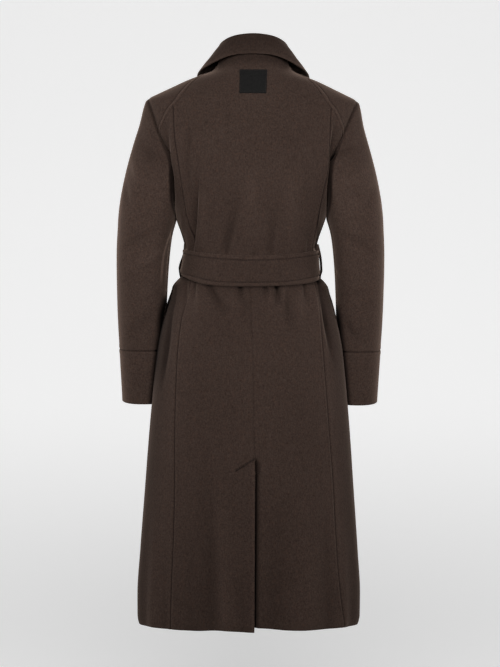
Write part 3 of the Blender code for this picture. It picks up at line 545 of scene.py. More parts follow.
# new material and its node tree
def newMaterial(name):
    material = bpy.data.materials.new(name)
    material.use_nodes = True
    return material, material.node_tree


# the layers add up to the mix of dark and light, flecks warm it, 1 + tone (painted shade and highlight)
# scales colour and sheen, and the middle and nap layers make the bump
def clothMaterial(name, look):
    material, tree = newMaterial(name)
    coords = nodeOf(tree, "ShaderNodeTexCoord", {}).outputs["Object"]
    squash = nodeOf(tree, "ShaderNodeMapping", {"Vector": coords, "Scale": (1.0, 1.0, look["napSquash"])})
    total = 0.5 - 0.5 * sum(share for scale, detail, share in look["layers"].values())
    heights = {}
    for layer, (scale, detail, share) in look["layers"].items():
        source = squash.outputs["Vector"] if layer == "nap" else coords
        noise = nodeOf(tree, "ShaderNodeTexNoise", {"Vector": source, "Scale": scale, "Detail": detail,
                                                    "Roughness": look["layerRough"]})
        heights[layer] = noise.outputs["Fac"]
        total = nodeOf(tree, "ShaderNodeMath", {0: heights[layer], 1: share, 2: total},
                       operation="MULTIPLY_ADD").outputs[0]
    mix = nodeOf(tree, "ShaderNodeMix", {0: total, 6: (*look["dark"], 1.0), 7: (*look["light"], 1.0)},
                 data_type="RGBA", clamp_factor=True)
    fleck = nodeOf(tree, "ShaderNodeTexNoise", {"Vector": coords, "Scale": look["fleck"], "Detail": 1.0})
    spread = nodeOf(tree, "ShaderNodeMapRange", {
        "Value": fleck.outputs["Fac"], "From Min": look["fleckFrom"], "From Max": look["fleckTo"],
        "To Max": look["fleckShare"]})
    warm = nodeOf(tree, "ShaderNodeMix", {0: spread.outputs["Result"], 6: mix.outputs[2],
                                          7: (*look["warm"], 1.0)}, data_type="RGBA")
    # painted shade and highlight carried by the tone attribute
    tone = nodeOf(tree, "ShaderNodeAttribute", {}, attribute_name="tone")
    shade = nodeOf(tree, "ShaderNodeMath", {0: tone.outputs["Fac"], 1: 1.0}, operation="ADD").outputs[0]
    toned = nodeOf(tree, "ShaderNodeVectorMath", {0: warm.outputs[2], "Scale": shade}, operation="SCALE")
    dimmed = nodeOf(tree, "ShaderNodeMath", {0: shade, 1: look["sheen"]}, operation="MULTIPLY")
    relief = nodeOf(tree, "ShaderNodeMath", {0: heights["middle"], 1: heights["nap"]}, operation="ADD")
    bump = nodeOf(tree, "ShaderNodeBump", {"Height": relief.outputs[0], "Strength": look["bump"],
                                           "Distance": look["bumpDeep"]})
    fillNode(tree, tree.nodes["Principled BSDF"], {
        "Base Color": toned.outputs[0], "Normal": bump.outputs["Normal"], "Roughness": look["rough"],
        "Specular IOR Level": look["gloss"], "Sheen Weight": dimmed.outputs[0],
        "Sheen Roughness": look["sheenRough"], "Sheen Tint": (*look["sheenTint"], 1.0)})
    return material


woolCloth = clothMaterial("feltedWool", wool)
thread = clothMaterial("brownThread", dict(
    wool, dark=(0.0070, 0.0045, 0.0036), light=(0.0200, 0.0135, 0.0106), warm=(0.020, 0.012, 0.009),
    rough=0.7, gloss=0.1, sheen=0.0, bumpDeep=0.0002))
patchCloth = clothMaterial("greyPatch", dict(
    wool, dark=(0.0030, 0.0029, 0.0028), light=(0.0085, 0.0082, 0.0079), warm=(0.007, 0.0067, 0.0064),
    rough=0.8, gloss=0.05, sheen=0.0, bumpDeep=0.0003))
print("cloths")


# every piece rides on the one body; a cloth replaces its solid, stitches replace nothing
def settle(piece, node=None):
    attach(piece, "root")
    if node:
        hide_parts(node)
    return piece


# cloth shell in the place of a node's solid
def addCloth(node, outer, outward, thick=cloth["thick"], material=woolCloth, slot="wool", **more):
    return settle(clothShell(node + "_cloth", outer, outward, material, thick, **more), node)


# armhole by the share of its own length from the armpit up to the shoulder tip, along the back or the front
def armholeShares(face):
    high = levels["shoulderTip"] - levels["armpit"]
    z = levels["armpit"] + high * (1 - np.cos(np.linspace(0, math.pi, 500))) / 2
    point = bodyRing(angleAt(armholeX[face](z), z, face), z)
    run = np.concatenate([[0], np.cumsum(np.linalg.norm(np.diff(point, axis=0), axis=-1))])
    return run / run[-1], z, point


loopBack, loopFront = armholeShares(1), armholeShares(-1)
# depth of the armhole seam: level, back, front; and how wide the body sinks beside it
armholeDeep = [(-0.300, 0.0150, 0.0060), (-0.240, 0.0140, 0.0050), (-0.190, 0.0085, 0.0035),
               (-0.150, 0.0045, 0.0025), (-0.100, 0.0026, 0.0016), (-0.078, 0.0016, 0.0010)]
armholeWide = 0.0048
# painted shade along the seam: level, how dark, how far it runs over the sleeve
armholeShade = [(-0.300, 0.95, 0.046), (-0.250, 0.94, 0.040), (-0.215, 0.80, 0.026), (-0.185, 0.48, 0.012),
                (-0.150, 0.34, 0.006), (-0.100, 0.34, 0.005), (-0.078, 0.30, 0.004)]
shadeDark, shadeReach = curvesOf(armholeShade)
deepBack, deepFront = curvesOf(armholeDeep)


# the body sinks towards the armhole seam and takes painted shade there, in a bell across the distance to it
def armholeDip(plain):
    dip = np.zeros(plain.shape[:-1])
    shade = np.zeros(plain.shape[:-1])
    near = (plain[..., 2] > levels["armpit"] - 0.02) & (np.abs(plain[..., 0]) > 0.135)
    if near.any():
        spot = plain[near]
        spot[:, 0] = np.abs(spot[:, 0])
        best = np.full(len(spot), 1.0)
        for (level, loop), deep in ((loopBack[1:], deepBack), (loopFront[1:], deepFront)):
            away = np.linalg.norm(spot[:, None] - loop[None, ::4], axis=-1)
            index = away.argmin(1)
            away = away[np.arange(len(spot)), index]
            level = level[::4][index]
            part = bell(away, armholeWide)
            dip[near] = np.where(away < best, -deep(level) * part, dip[near])
            shade[near] = np.where(away < best, shadeDark(level) * part, shade[near])
            best = np.minimum(away, best)
    return dip, shade


# how strongly a seam shows, by level: one share all along
def sewnEvenly(share):
    return lambda z: share + 0 * z


# weak past a level, where the yoke seam takes over
def sewnUpTo(name):
    return lambda z: 1 - cloth["yokeFade"] * softStep((z - levels[name]) / 0.004)


# eased where the skirt gathers
def sewnGathered(z):
    return 1 - cloth["gatherFade"] * bell(z - cloth["gatherAt"], cloth["gatherWide"])


sewnAll, sewnNone, sewnCentre = [sewnEvenly(share) for share in (1.0, 0.0, 0.26)]


# level on the belt: lower at the back, its lower edge drawn up at the left
def beltLevel(angle, share):
    level = waistband["top"] - waistband["wide"] * share
    level = level - waistband["dip"] * np.clip(np.sin(angle), 0, 1) ** 2
    return level + waistband["drawnUp"] * share * softStep((-np.cos(angle) - 0.45) / 0.5)


# painted shadow just below the belt's lower edge, fading by its distance
def beltShade(angle, level):
    down = np.maximum(beltLevel(angle, 1.0) - level, 0)
    return waistband["shade"] * np.exp(-down / waistband["shadeFade"]) * softStep((-0.420 - level) / 0.010)


# panel of the body between two seams: plain ring, then creases, seams and its own layer along the normal
def panelGrid(rows, first, last, step=None, layer=None, shift=None, sewn=(sewnAll, sewnAll), welt=None,
              paint=None):
    start = first(rows)[:, None]
    end = last(rows)[:, None]
    level = rows[:, None]
    probe = bodyRing(start + (end - start) * np.linspace(0, 1, 25), level + np.zeros((1, 25)))
    wide = np.linalg.norm(np.diff(probe, axis=1), axis=-1).sum(1)
    wide = np.maximum(wide - cloth["gap"], 0.0006)
    columns = max(3, int(wide.max() / (step or cloth["step"])))
    share = rimShares(columns, wide).T
    inset = cloth["gap"] / 2 / (wide + cloth["gap"])
    angle = start + (end - start) * (inset[:, None] + share * (1 - 2 * inset[:, None]))
    level = level + 0 * angle
    plain = bodyRing(angle, level)
    normal = ringNormal(angle, level)
    creases = bodyCreases(plain, normal)
    dip, shade = armholeDip(plain)
    height = bodyRelief(creases, plain[..., 2]) + dip
    tone = paintedCreaseShade(creases) - shade - beltShade(angle, level)
    fromStart = share * wide[:, None]
    fromEnd = (1 - share) * wide[:, None]
    for seam, away in zip(sewn, (fromStart, fromEnd)):
        share = seam(rows)[:, None]
        height = height + share * seamRelief(away)
        tone = tone + share * seamShadeAndHighlight(away)
    if welt:
        square = fromStart * yokeSquare(rows)[:, None]
        height = height + welt(square)
        tone = tone + weltShadeAndHighlight(square)
    if paint:
        tone = tone + paint(plain)
    if layer:
        height = height + layer(plain)
    outer = plain + normal * height[..., None]
    if shift:
        outer[..., 2] += shift(plain)
    return outer, normal, tone


# the turned-up hem thickens the cloth inside
def hemExtra(outer):
    return cloth["hemExtra"] * softStep((levels["hem"] + cloth["hemTurn"] - outer[..., 2]) / 0.0015)


# edge of a panel along a seam: the angle, at each level, of the seam's x on the back (1) or the front (-1)
def seamEdge(line, face, side):
    return lambda z: turned(angleAt(line(z), z, face), side)


# back princess seam of one side
def princessEdge(side):
    return seamEdge(princessX[side], 1, side)


# length of cloth for each radian round the body
def ringReach(angle, level, turn=0.01):
    around = bodyRing(angle + turn, level) - bodyRing(angle - turn, level)
    return np.linalg.norm(around, axis=-1) / (2 * turn)


# along the armhole a panel runs on a little way inside the sleeve, as a seam allowance does
def armholeEdge(z, face):
    angle = angleAt(armholeX[face](z), z, face)
    return angle - np.sign(angle) * cloth["runOn"] / ringReach(angle, z)


# side seam, then the armhole, then the yoke seam
def sideBackEdge(side):
    def edge(z):
        upper = np.where(z < levels["yokeEnd"], armholeEdge(z, 1), angleAt(yokeX(z), z, 1))
        return turned(np.where(z < levels["armpit"], 0.0, upper), side)
    return edge


# princess seam, then the yoke seam, then the neck seam
def backEdge(side):
    def edge(z):
        rise = np.clip((z - levels["neckTop"]) / (levels["nape"] - levels["neckTop"]), 0, 1)
        neckX = yokeX(levels["neckTop"])
        neck = angleAt(neckX + (0.035 - neckX) * rise ** 2, z, 1)
        upper = np.where(z < levels["neckTop"], angleAt(yokeX(z), z, 1), neck)
        return turned(np.where(z < levels["yokePoint"], angleAt(princessX[side](z), z, 1), upper), side)
    return edge


# a distance along a level becomes one square to the yoke seam
def yokeSquare(z):
    return 1 / np.hypot(1, (yokeX(z + 0.002) - yokeX(z - 0.002)) / 0.004)


# from the shoulder tip towards the neck the seam turns slowly to the front
def shoulderSeam(z):
    return -math.radians(13) * (z - levels["shoulderTip"]) / (levels["neck"] - levels["shoulderTip"])


# armhole, then the shoulder seam
def shoulderEdge(z, face):
    return np.where(z < levels["shoulderTip"], armholeEdge(z, face), shoulderSeam(z))


# outer edge of the yoke
def yokeTopEdge(side):
    return lambda z: turned(shoulderEdge(z, 1), side)


# side seam, then the armhole and the shoulder seam
def frontOuterEdge(side):
    return lambda z: turned(np.where(z < levels["armpit"], 0.0, shoulderEdge(z, -1)), side)


# front princess seam up to the armhole, then the front's outer edge
def frontSeamEdge(side):
    seam = seamEdge(frontPrincessX, -1, side)
    return lambda z: np.where(z < levels["frontPoint"], seam(z), frontOuterEdge(side)(z))


# how far the fronts lap past the middle, how deep the left one lies under the right one, grid steps
front = {"lap": 0.060, "under": 0.005, "lapelUnder": 0.0055, "upperStep": 0.0042, "skirtStep": 0.0056}


# front edge, then the roll line of the lapel
def frontInnerEdge(side):
    return seamEdge(lambda z: np.where(z < levels["lapelBreak"], -front["lap"], rollX(z)), -1, side)


# vent at the centre back, where the left skirt laps over the right one
vent = {
    "lap": 0.045, "step": 0.0110, "open": 0.0022, "drop": 0.005, "rise": 0.004, "edgeLift": 0.0024,
    "low": (0.0046, 0.0024),       # the hem hangs lower at the left and at the right
    # painted shade near and wide on the underlap, painted highlight on the lapping edge, painted shade on
    # the bar
    "darkNear": 0.60, "darkWide": 0.34, "pale": 0.22, "barDark": 0.55,
    "stitch": {"long": 0.0036, "space": 0.0001, "radius": 0.00075, "sink": 0.00030},
    "barStart": (0.0098, -0.8058), "barEnd": (-0.0292, -0.8312), "barDeep": 0.0016, "barWide": 0.0016,
    "barLift": 0.0016,
}


# 0 at the top of the vent, 1 at the hem
def ventShare(z):
    return softStep((levels["ventTop"] - z) / (levels["ventTop"] - levels["hem"]))


# centre seam, then the underlap of the vent
def underlapX(z):
    return centreX(z) - vent["lap"] * np.clip((levels["ventTop"] - z) / 0.028, 0, 1)


# distance to the right of the centre seam, and the level
def fromCentre(plain):
    return plain[..., 0] - centreX(plain[..., 2]), plain[..., 2]


# the right skirt steps in behind the left one, more towards the hem
def ventUnder(plain):
    x, z = fromCentre(plain)
    near = softStep((0.0085 - x) / 0.0070) * softStep((levels["ventTop"] + 0.014 - z) / 0.020)
    return -(vent["step"] + vent["open"] * ventShare(z)) * near


# painted shade where the underlap dips away beside the lapping edge
def ventShade(plain):
    x, z = fromCentre(plain)
    deep = vent["darkNear"] * softStep((0.0060 - x) / 0.0035)
    deep = deep + vent["darkWide"] * softStep((0.0150 - x) / 0.0120)
    return -deep * softStep((levels["ventTop"] + 0.010 - z) / 0.012)


# distance to the slanted bar: to the nearest point of a straight run
def barAway(plain):
    x, z = plain[..., 0], plain[..., 2]
    start = np.array(vent["barStart"])
    run = np.array(vent["barEnd"]) - start
    share = np.clip(((x - start[0]) * run[0] + (z - start[1]) * run[1]) / (run @ run), 0, 1)
    return np.hypot(x - start[0] - run[0] * share, z - start[1] - run[1] * share)


# painted highlight along the lapping edge, painted shade along the bar
def ventHighlightAndShade(plain):
    x, z = fromCentre(plain)
    pale = vent["pale"] * bell(x + 0.0030, 0.0018) * softStep((levels["ventTop"] - z) / 0.020)
    return pale - vent["barDark"] * bell(barAway(plain), 0.0013)


# the lapping edge lifts slightly towards the hem, and a slanted bar of stitches draws it in at the top
def ventOver(plain):
    x, z = fromCentre(plain)
    lift = vent["edgeLift"] * softStep((x + 0.030) / 0.030) * ventShare(z)
    return lift - vent["barDeep"] * bell(barAway(plain), vent["barWide"])


# the hem hangs lower to both sides of the vent, fading round to the front
def hemLow(plain):
    x, y, z = np.moveaxis(plain, -1, 0)
    low = np.where(x < 0, *vent["low"])
    return -low * softStep((np.abs(x) - 0.035) / 0.080) * softStep((0.090 - y) / 0.120) * ventShare(z)


# the lapping edge drops at the hem
def ventDrop(plain):
    x, z = fromCentre(plain)
    return hemLow(plain) - vent["drop"] * softStep((x + 0.100) / 0.100) * ventShare(z)


# the underlap hangs a little higher
def ventRise(plain):
    x, z = fromCentre(plain)
    return hemLow(plain) + vent["rise"] * softStep((0.070 - x) / 0.070) * ventShare(z)


# painted shadow of the sleeves on the hips, most at the left; folds it ends at: level, distance from the
# middle
hip = {
    "rim": 0.42, "rimWide": 0.046,                 # soft, towards the side
    "edge": (0.55, 0.25), "edgeWide": 0.011,       # close to the side, left and right
    "line": 0.35, "lineWide": 0.004,               # at the left side itself
    "strip": (0.46, 0.60), "stripFade": 0.008,     # past the fold, left and right
    "foldSoft": 0.003, "fade": 0.020,
    "rimFrom": -0.445, "edgeFrom": -0.468, "lineFrom": -0.455, "stripFrom": -0.442,      # below these levels
    "edgeEnd": (-0.720, 0.120), "leftEnd": (-0.690, 0.080), "rightEnd": (-0.64, 0.14),   # level, fading over
    "foldLeft": [(-0.690, 0.1830), (-0.652, 0.1770), (-0.611, 0.1701), (-0.570, 0.1640), (-0.529, 0.1599),
                 (-0.508, 0.1563), (-0.488, 0.1523), (-0.467, 0.1505), (-0.442, 0.1440)],
    "foldRight": [(-0.650, 0.1670), (-0.590, 0.1620), (-0.549, 0.1562), (-0.521, 0.1505), (-0.504, 0.1460),
                  (-0.488, 0.1425), (-0.4715, 0.1398), (-0.445, 0.1345)],
}
hipFoldLeft, hipFoldRight = [curvesOf(hip[name])[0] for name in ("foldLeft", "foldRight")]


# 1 above a level, rising to it over a short way
def fadeEnd(z, name):
    level, over = hip[name]
    return softStep((z - level) / over)


# painted shadow: what rim, strips and edges each let through, multiplied, less 1
def hipShade(plain):
    x, y, z = np.moveaxis(plain, -1, 0)
    inside = halfCut(z) - np.abs(x)
    rim = hip["rim"] * softStep(1 - inside / hip["rimWide"]) * softStep((hip["rimFrom"] - z) / hip["fade"])
    edge = np.where(x < 0, *hip["edge"]) * softStep(1 - inside / hip["edgeWide"])
    edge = edge * softStep((hip["edgeFrom"] - z) / hip["fade"])
    line = hip["line"] * (x < 0) * softStep(1 - inside / hip["lineWide"])
    line = line * softStep((hip["lineFrom"] - z) / hip["fade"])
    edge = (edge + line) * fadeEnd(z, "edgeEnd")
    past = -x - hipFoldLeft(z)
    fade = np.exp(-np.maximum(past, 0) / hip["stripFade"])
    strip = softStep(past / hip["foldSoft"] + 0.5) * (0.5 + 0.5 * fade)
    strip = hip["strip"][0] * strip * fadeEnd(z, "leftEnd") * softStep((hip["stripFrom"] - z) / hip["fade"])
    past = x - hipFoldRight(z)
    right = softStep(past / hip["foldSoft"] + 0.5) * np.exp(-np.maximum(past, 0) / hip["stripFade"])
    strip = strip + hip["strip"][1] * right * fadeEnd(z, "rightEnd")
    return (1 - rim) * (1 - strip) * (1 - edge) - 1


# a panel's grid becomes its cloth, thicker inside where the hem is turned up
def addPanel(node, rows, first, last, hem=False, **more):
    outer, outward, tone = panelGrid(rows, first, last, **more)
    return addCloth(node, outer, outward, extra=hemExtra(outer) if hem else 0.0, tone=tone)


skirtRows = levelRows((levels["hem"], levels["skirtMiddle"], 0.0044),
                      (levels["skirtMiddle"], levels["waist"], 0.0034))
upperRows = levelRows((levels["waist"], -0.110, 0.0034), (-0.110, levels["nape"], 0.0022),
                      keep=[levels["yokePoint"], levels["neckTop"]])
back = {"step": 0.0022, "napeShade": 0.40, "shadeFrom": -0.018, "shadeOver": 0.030}


# painted shadow under the collar
def napeShade(plain):
    return -back["napeShade"] * softStep((plain[..., 2] - back["shadeFrom"]) / back["shadeOver"])


addPanel("back_upper", upperRows, backEdge(1), backEdge(-1), sewn=[sewnUpTo("yokePoint")] * 2,
         paint=napeShade)
addPanel("back_skirt_left", skirtRows, seamEdge(centreX, 1, 1), princessEdge(-1), hem=True,
         step=back["step"], layer=ventOver, shift=ventDrop, paint=ventHighlightAndShade, sewn=(sewnCentre, sewnGathered))
addPanel("back_skirt_right", skirtRows, princessEdge(1), seamEdge(underlapX, 1, 1), hem=True,
         step=back["step"], layer=ventUnder, shift=ventRise, paint=ventShade, sewn=(sewnGathered, sewnCentre))
print("back panels")

sideRows = levelRows((levels["hem"], levels["skirtMiddle"], 0.0044),
                     (levels["skirtMiddle"], levels["yokePoint"] - 0.0015, 0.0034),
                     keep=[levels["armpit"], levels["yokeEnd"]])
for side, word in sides:
    addPanel("side_back_" + word, sideRows, sideBackEdge(side), princessEdge(side), hem=True, shift=hemLow,
             sewn=(sewnUpTo("yokeEnd"), sewnGathered), paint=hipShade)
print("side panels")

# the yoke seam is topstitched: the edge stands up as a welt and dips at the stitch line
yoke = {
    "stitchIn": 0.0072, "weltRise": 0.0010, "stitchDip": 0.0009, "dipWide": 0.0011,
    # painted highlight on the welt, painted shade along its edge and its stitch line
    "pale": 0.34, "paleAt": 0.0036, "paleWide": 0.0020, "edgeShade": 0.24, "edgeWide": 0.0009,
    "stitchShade": 0.36,
    "stitch": {"long": 0.0030, "space": 0.0007, "radius": 0.00026, "sink": 0.00012},
}


# raised from the edge to the stitch line, with a bell-shaped dip there
def yokeWelt(away):
    rise = yoke["weltRise"] * softStep(away / 0.0024) * softStep((yoke["stitchIn"] - away) / 0.0020)
    return rise - yoke["stitchDip"] * bell(away - yoke["stitchIn"], yoke["dipWide"])


# painted highlight on the welt, painted shade along its edge and its stitches
def weltShadeAndHighlight(away):
    pale = yoke["pale"] * bell(away - yoke["paleAt"], yoke["paleWide"])
    pale = pale - yoke["edgeShade"] * bell(away, yoke["edgeWide"])
    return pale - yoke["stitchShade"] * bell(away - yoke["stitchIn"], yoke["dipWide"])


yokeRows = levelRows((levels["yokeEnd"], levels["neckTop"], 0.0021), keep=[levels["shoulderTip"]])
for side, word in sides:
    addPanel("yoke_" + word, yokeRows, seamEdge(yokeX, 1, side), yokeTopEdge(side), step=0.0016,
             welt=yokeWelt, sewn=(sewnNone, sewnAll))
print("yokes")


# the left front lies inside the right one, deeper where its lapel passes beneath
def frontUnder(plain):
    x, y, z = np.moveaxis(plain, -1, 0)
    deep = front["under"] + front["lapelUnder"] * softStep((z + 0.400) / 0.050)
    return -deep * softStep((x + 0.128) / 0.084) * softStep((-0.050 - z) / 0.090) * (y > 0)


frontRows = levelRows((levels["waist"], -0.120, 0.0036), (-0.120, levels["neck"], 0.0026),
                      keep=[levels["frontPoint"], levels["shoulderTip"], levels["lapelBreak"]])
sideFrontRows = levelRows((levels["hem"], levels["skirtMiddle"], 0.0046),
                          (levels["skirtMiddle"], levels["frontPoint"] - 0.0015, 0.0036),
                          keep=[levels["armpit"]])
for side, word in sides:
    under = frontUnder if side < 0 else None
    addPanel("front_upper_" + word, frontRows, frontInnerEdge(side), frontSeamEdge(side),
             step=front["upperStep"], layer=under, sewn=(sewnNone, sewnAll))
    addPanel("front_skirt_" + word, skirtRows, frontInnerEdge(side), frontSeamEdge(side), hem=True,
             step=front["skirtStep"], layer=under, sewn=(sewnNone, sewnAll))
    addPanel("side_front_" + word, sideFrontRows, seamEdge(frontPrincessX, -1, side), frontOuterEdge(side),
             hem=True, step=front["skirtStep"], layer=under, shift=hemLow, paint=hipShade)
print("fronts")

# lapel edge along the roll line: share from the neck to the break, x, level
lapel = {"rise": 0.0050, "inside": 0.0012, "thick": 0.0024,
         "edge": [(0.00, 0.1500, -0.1050), (0.22, 0.1400, -0.1480), (0.45, 0.1080, -0.2150),
                  (0.70, 0.0540, -0.2850), (0.90, -0.0100, -0.3300), (1.00, -0.0470, -0.3440)]}
lapelX, lapelZ = curvesOf(lapel["edge"])


# point on the coat: the plain ring raised by creases, a lift and a layer along its normal
def coatPoint(angle, level, lift=0.0, layer=None):
    plain = bodyRing(angle, level)
    normal = ringNormal(angle, level)
    height = bodyRelief(bodyCreases(plain, normal), level + 0 * angle) + lift
    if layer:
        height = height + layer(plain)
    return plain + normal * height[..., None], normal


# bell average along one axis of a grid that keeps its end rows
def eased(grid, passes, axis):
    grid = np.moveaxis(grid.copy(), axis, 0)
    for turn in range(passes):
        grid[1:-1] = 0.25 * grid[:-2] + 0.5 * grid[1:-1] + 0.25 * grid[2:]
    return np.moveaxis(grid, 0, axis)


# the lapel wraps the front's edge in a round fold, then lies on the front out to its own edge
def lapelGrid(side, layer):
    share = rimShares(78, 0.345)[:, 0]
    rollZ = levels["neck"] + (levels["lapelBreak"] + 0.008 - levels["neck"]) * share
    rollAt = rollX(rollZ)
    edgeAt, edgeZ = lapelX(share), lapelZ(share)
    root, out = coatPoint(turned(angleAt(rollAt, rollZ, -1), side), rollZ, 0.0, layer)
    tip = coatPoint(turned(angleAt(edgeAt, edgeZ, -1), side), edgeZ, lapel["rise"], layer)[0]
    flat = unitOf(np.cross(out, np.gradient(root, axis=0)))
    flat = flat * np.sign(np.sum(flat * (tip - root), -1, keepdims=True))
    radius = lapel["rise"] + lapel["inside"]
    centre = root - out * lapel["inside"]
    arc = np.radians(np.concatenate([[-20, -19, -17, -14], np.linspace(-10, 74, 12)]))[:, None, None]
    wrap = centre + (out * np.sin(arc) - flat * np.cos(arc)) * radius
    part = np.concatenate([np.linspace(0.02, 0.955, 26), [0.97, 0.982, 0.990, 0.995, 0.9982, 1.0]])[:, None]
    x = rollAt + (edgeAt - rollAt) * part
    z = rollZ + (edgeZ - rollZ) * part
    lie, lieOut = coatPoint(turned(angleAt(x, z, -1), side), z, lapel["rise"], layer)
    grid = np.concatenate([wrap, lie])
    grid[4:-6] = eased(grid, 5, 0)[4:-6]
    return grid, np.concatenate([0 * wrap + out, lieOut])


for side, word in sides:
    outer, outward = lapelGrid(side, frontUnder if side < 0 else None)
    addCloth("lapel_" + word, outer, outward, lapel["thick"])
print("lapels")

# collar from the centre back to its front end: neck seam, centre of the fold, outer edge
collar = {
    "thick": 0.0030, "fold": 0.0050,
    "tone": -0.40,                # painted shade over the whole collar
    "pale": (0.20, 0.24),         # painted highlight towards the rolled outer edge, wide and close
    "seam": [(0.0, -0.0595, 0.0256), (0.034, -0.0520, 0.0256), (0.056, -0.0410, 0.0065),
             (0.0765, -0.0080, -0.0114), (0.0750, 0.0160, -0.0114), (0.0700, 0.0255, -0.0114),
             (0.0670, 0.0295, -0.0114), (0.0640, 0.0330, -0.0114)],
    "crest": [(0.0, -0.0660, 0.0545), (0.031, -0.0610, 0.0515), (0.055, -0.0420, 0.0440),
              (0.0680, -0.0080, 0.0330), (0.0665, 0.0160, 0.0200), (0.0630, 0.0300, 0.0030),
              (0.0615, 0.0345, -0.0005), (0.0600, 0.0385, -0.0040)],
    "edge": [(0.0, -0.0690, 0.0170), (0.036, -0.0650, 0.0150), (0.0660, -0.0545, 0.0068),
             (0.0950, -0.0370, -0.0078), (0.1125, -0.0080, -0.0188), (0.1180, 0.0360, -0.0295),
             (0.1140, 0.0630, -0.0450), (0.1080, 0.0840, -0.0600)],
    "bulge": [(0.0, 0.0), (0.30, 0.0035), (0.65, 0.0040), (1.0, 0.0)],
    "tuck": (0.0030, 0.0070),     # how far the seam allowance lies inside the neck, and below the seam
}


# each station carries a stand, a half-round fold and a slightly bulged fall; the left half mirrors the right
def collarGrid():
    stations = np.arange(len(collar["seam"]))
    last = len(stations) - 1
    close = last - 0.02 * np.array([2.2, 1.2, 0.5, 0.2, 0.0])
    place = np.unique(np.concatenate([np.linspace(0, last, 92)[:-1], close]))
    mirror = np.array([-1, 1, 1])
    lines = {}
    for name in ("seam", "crest", "edge"):
        table = np.array(collar[name])
        lines[name] = np.stack([through(stations, table[:, k])(place) for k in range(3)], -1)
        both = np.concatenate([lines[name][:0:-1] * mirror, lines[name]])
        lines[name] = eased(both, 30, 0)[len(place) - 1:]
    crest = lines["crest"]
    run = unitOf(np.gradient(crest, axis=0))
    run[0] = (1, 0, 0)
    out = unitOf(np.cross(run, np.array([0.0, 0.0, 1.0])))
    rise = unitOf(np.cross(out, run))
    inside = crest - out * collar["fold"]
    outside = crest + out * collar["fold"]
    lift = np.concatenate([[0, 0.008, 0.022, 0.05], np.linspace(0.1, 0.95, 13)])[:, None, None]
    root = lines["seam"] - out * collar["tuck"][0] - np.array([0, 0, collar["tuck"][1]])
    stand = root + (inside - root) * lift
    turn = np.radians(np.linspace(0, 180, 15))[:, None, None]
    fold = crest + (rise * np.sin(turn) - out * np.cos(turn)) * collar["fold"]
    fall = np.concatenate([np.linspace(0.05, 0.94, 20), [0.957, 0.97, 0.981, 0.989, 0.9955, 1.0]])
    fall = fall[:, None, None]
    bulge = curvesOf(collar["bulge"])[0](fall)
    drape = outside + (lines["edge"] - outside) * fall + out * bulge
    grid = np.concatenate([stand, fold, drape])
    grid[4:-6] = eased(grid, 4, 0)[4:-6]
    face = np.concatenate([0 * stand - out, 0 * fold + rise, 0 * drape + out])
    return [np.concatenate([half[:, :0:-1] * mirror, half], 1) for half in (grid, face)]


# painted shade over the collar, and painted highlight towards the rolled outer edge in two steps
def collarShadeAndHighlight(away):
    wide, close = collar["pale"]
    return collar["tone"] + wide * softStep(1 - away / 0.030) + close * softStep(1 - away / 0.009)


outer, outward = collarGrid()
addCloth("collar", outer, outward, collar["thick"], tone=collarShadeAndHighlight(runLength(outer, 0)[1]))
print("collar")

# sleeve rings below the armhole: level, x, y, half width, half depth, how far the back lies below the front;
# creases placed by degrees round the arm
sleeve = {
    "rings": np.array([
        (-0.330, 0.2180, 0.008, 0.0565, 0.0660, 0.000), (-0.385, 0.2235, 0.014, 0.0540, 0.0630, 0.000),
        (-0.447, 0.2260, 0.025, 0.0515, 0.0600, 0.000), (-0.529, 0.2270, 0.048, 0.0490, 0.0560, 0.002),
        (-0.591, 0.2265, 0.066, 0.0465, 0.0520, 0.004), (-0.700, 0.2245, 0.094, 0.0430, 0.0470, 0.008)]),
    "around": 0.055,                  # mean radius
    # tone: painted light, paler down the arm
    "square": 2.6, "headRoll": 0.0030, "tone": 0.22,
    "close": 0.0040,                  # the sleeve lies against the body under the arm
    "fuller": {"left": 0.0034, "right": -0.0012},      # inner side
    "inner": 0.97,                    # painted shadow on it, from a level down
    "shadeFrom": {"left": -0.470, "right": -0.486},
    "hipReach": 0.014,                # how far from the hip it lies
    # painted highlight streaks, and a fainter echo beside them
    "streakWide": 0.055, "echo": 0.3, "echoAt": -0.36, "echoWide": 0.08,
    "streak": {"left": {"path": [(-0.470, 0.78), (-0.400, 0.74), (-0.345, 0.40)], "pale": 1.60,
                        "from": -0.335, "to": -0.465},
               "right": {"path": [(-0.440, 0.70), (-0.415, 0.15)], "pale": 1.30,
                         "from": -0.410, "to": -0.450}},
    "left": [
        (158, -190, 100, -272, 8, 10, 6.0, 0.45), (150, -160, 92, -222, 10, 12, -5.0, 0.50),
        (168, -228, 116, -318, 9, 11, -4.0, 0.50), (60, -330, 130, -400, 10, 12, -3.6, 0.50),
        (40, -372, 120, -446, 9, 12, 3.4, 0.50), (300, -330, 230, -410, 9, 12, -3.0, 0.50),
        (310, -380, 225, -440, 9, 11, -3.4, 0.50), (318, -420, 235, -476, 9, 11, -2.6, 0.50),
        (60, -500, 120, -590, 10, 12, -3.0, 0.50), (250, -180, 285, -290, 9, 12, -2.8, 0.50)],
    "right": [
        (128, -168, 70, -208, 10, 12, -5.0, 0.50), (140, -206, 80, -270, 9, 12, 4.6, 0.50),
        (150, -240, 96, -320, 9, 11, -3.4, 0.50), (52, -340, 122, -404, 10, 12, -3.6, 0.50),
        (36, -500, 92, -588, 9, 12, -5.0, 0.60), (20, -470, 62, -560, 9, 11, 3.0, 0.60),
        (302, -336, 226, -404, 9, 12, -3.2, 0.50), (312, -386, 230, -448, 9, 11, -3.2, 0.50),
        (316, -428, 240, -470, 9, 11, -2.4, 0.50), (252, -176, 288, -286, 9, 12, -2.6, 0.50)],
}
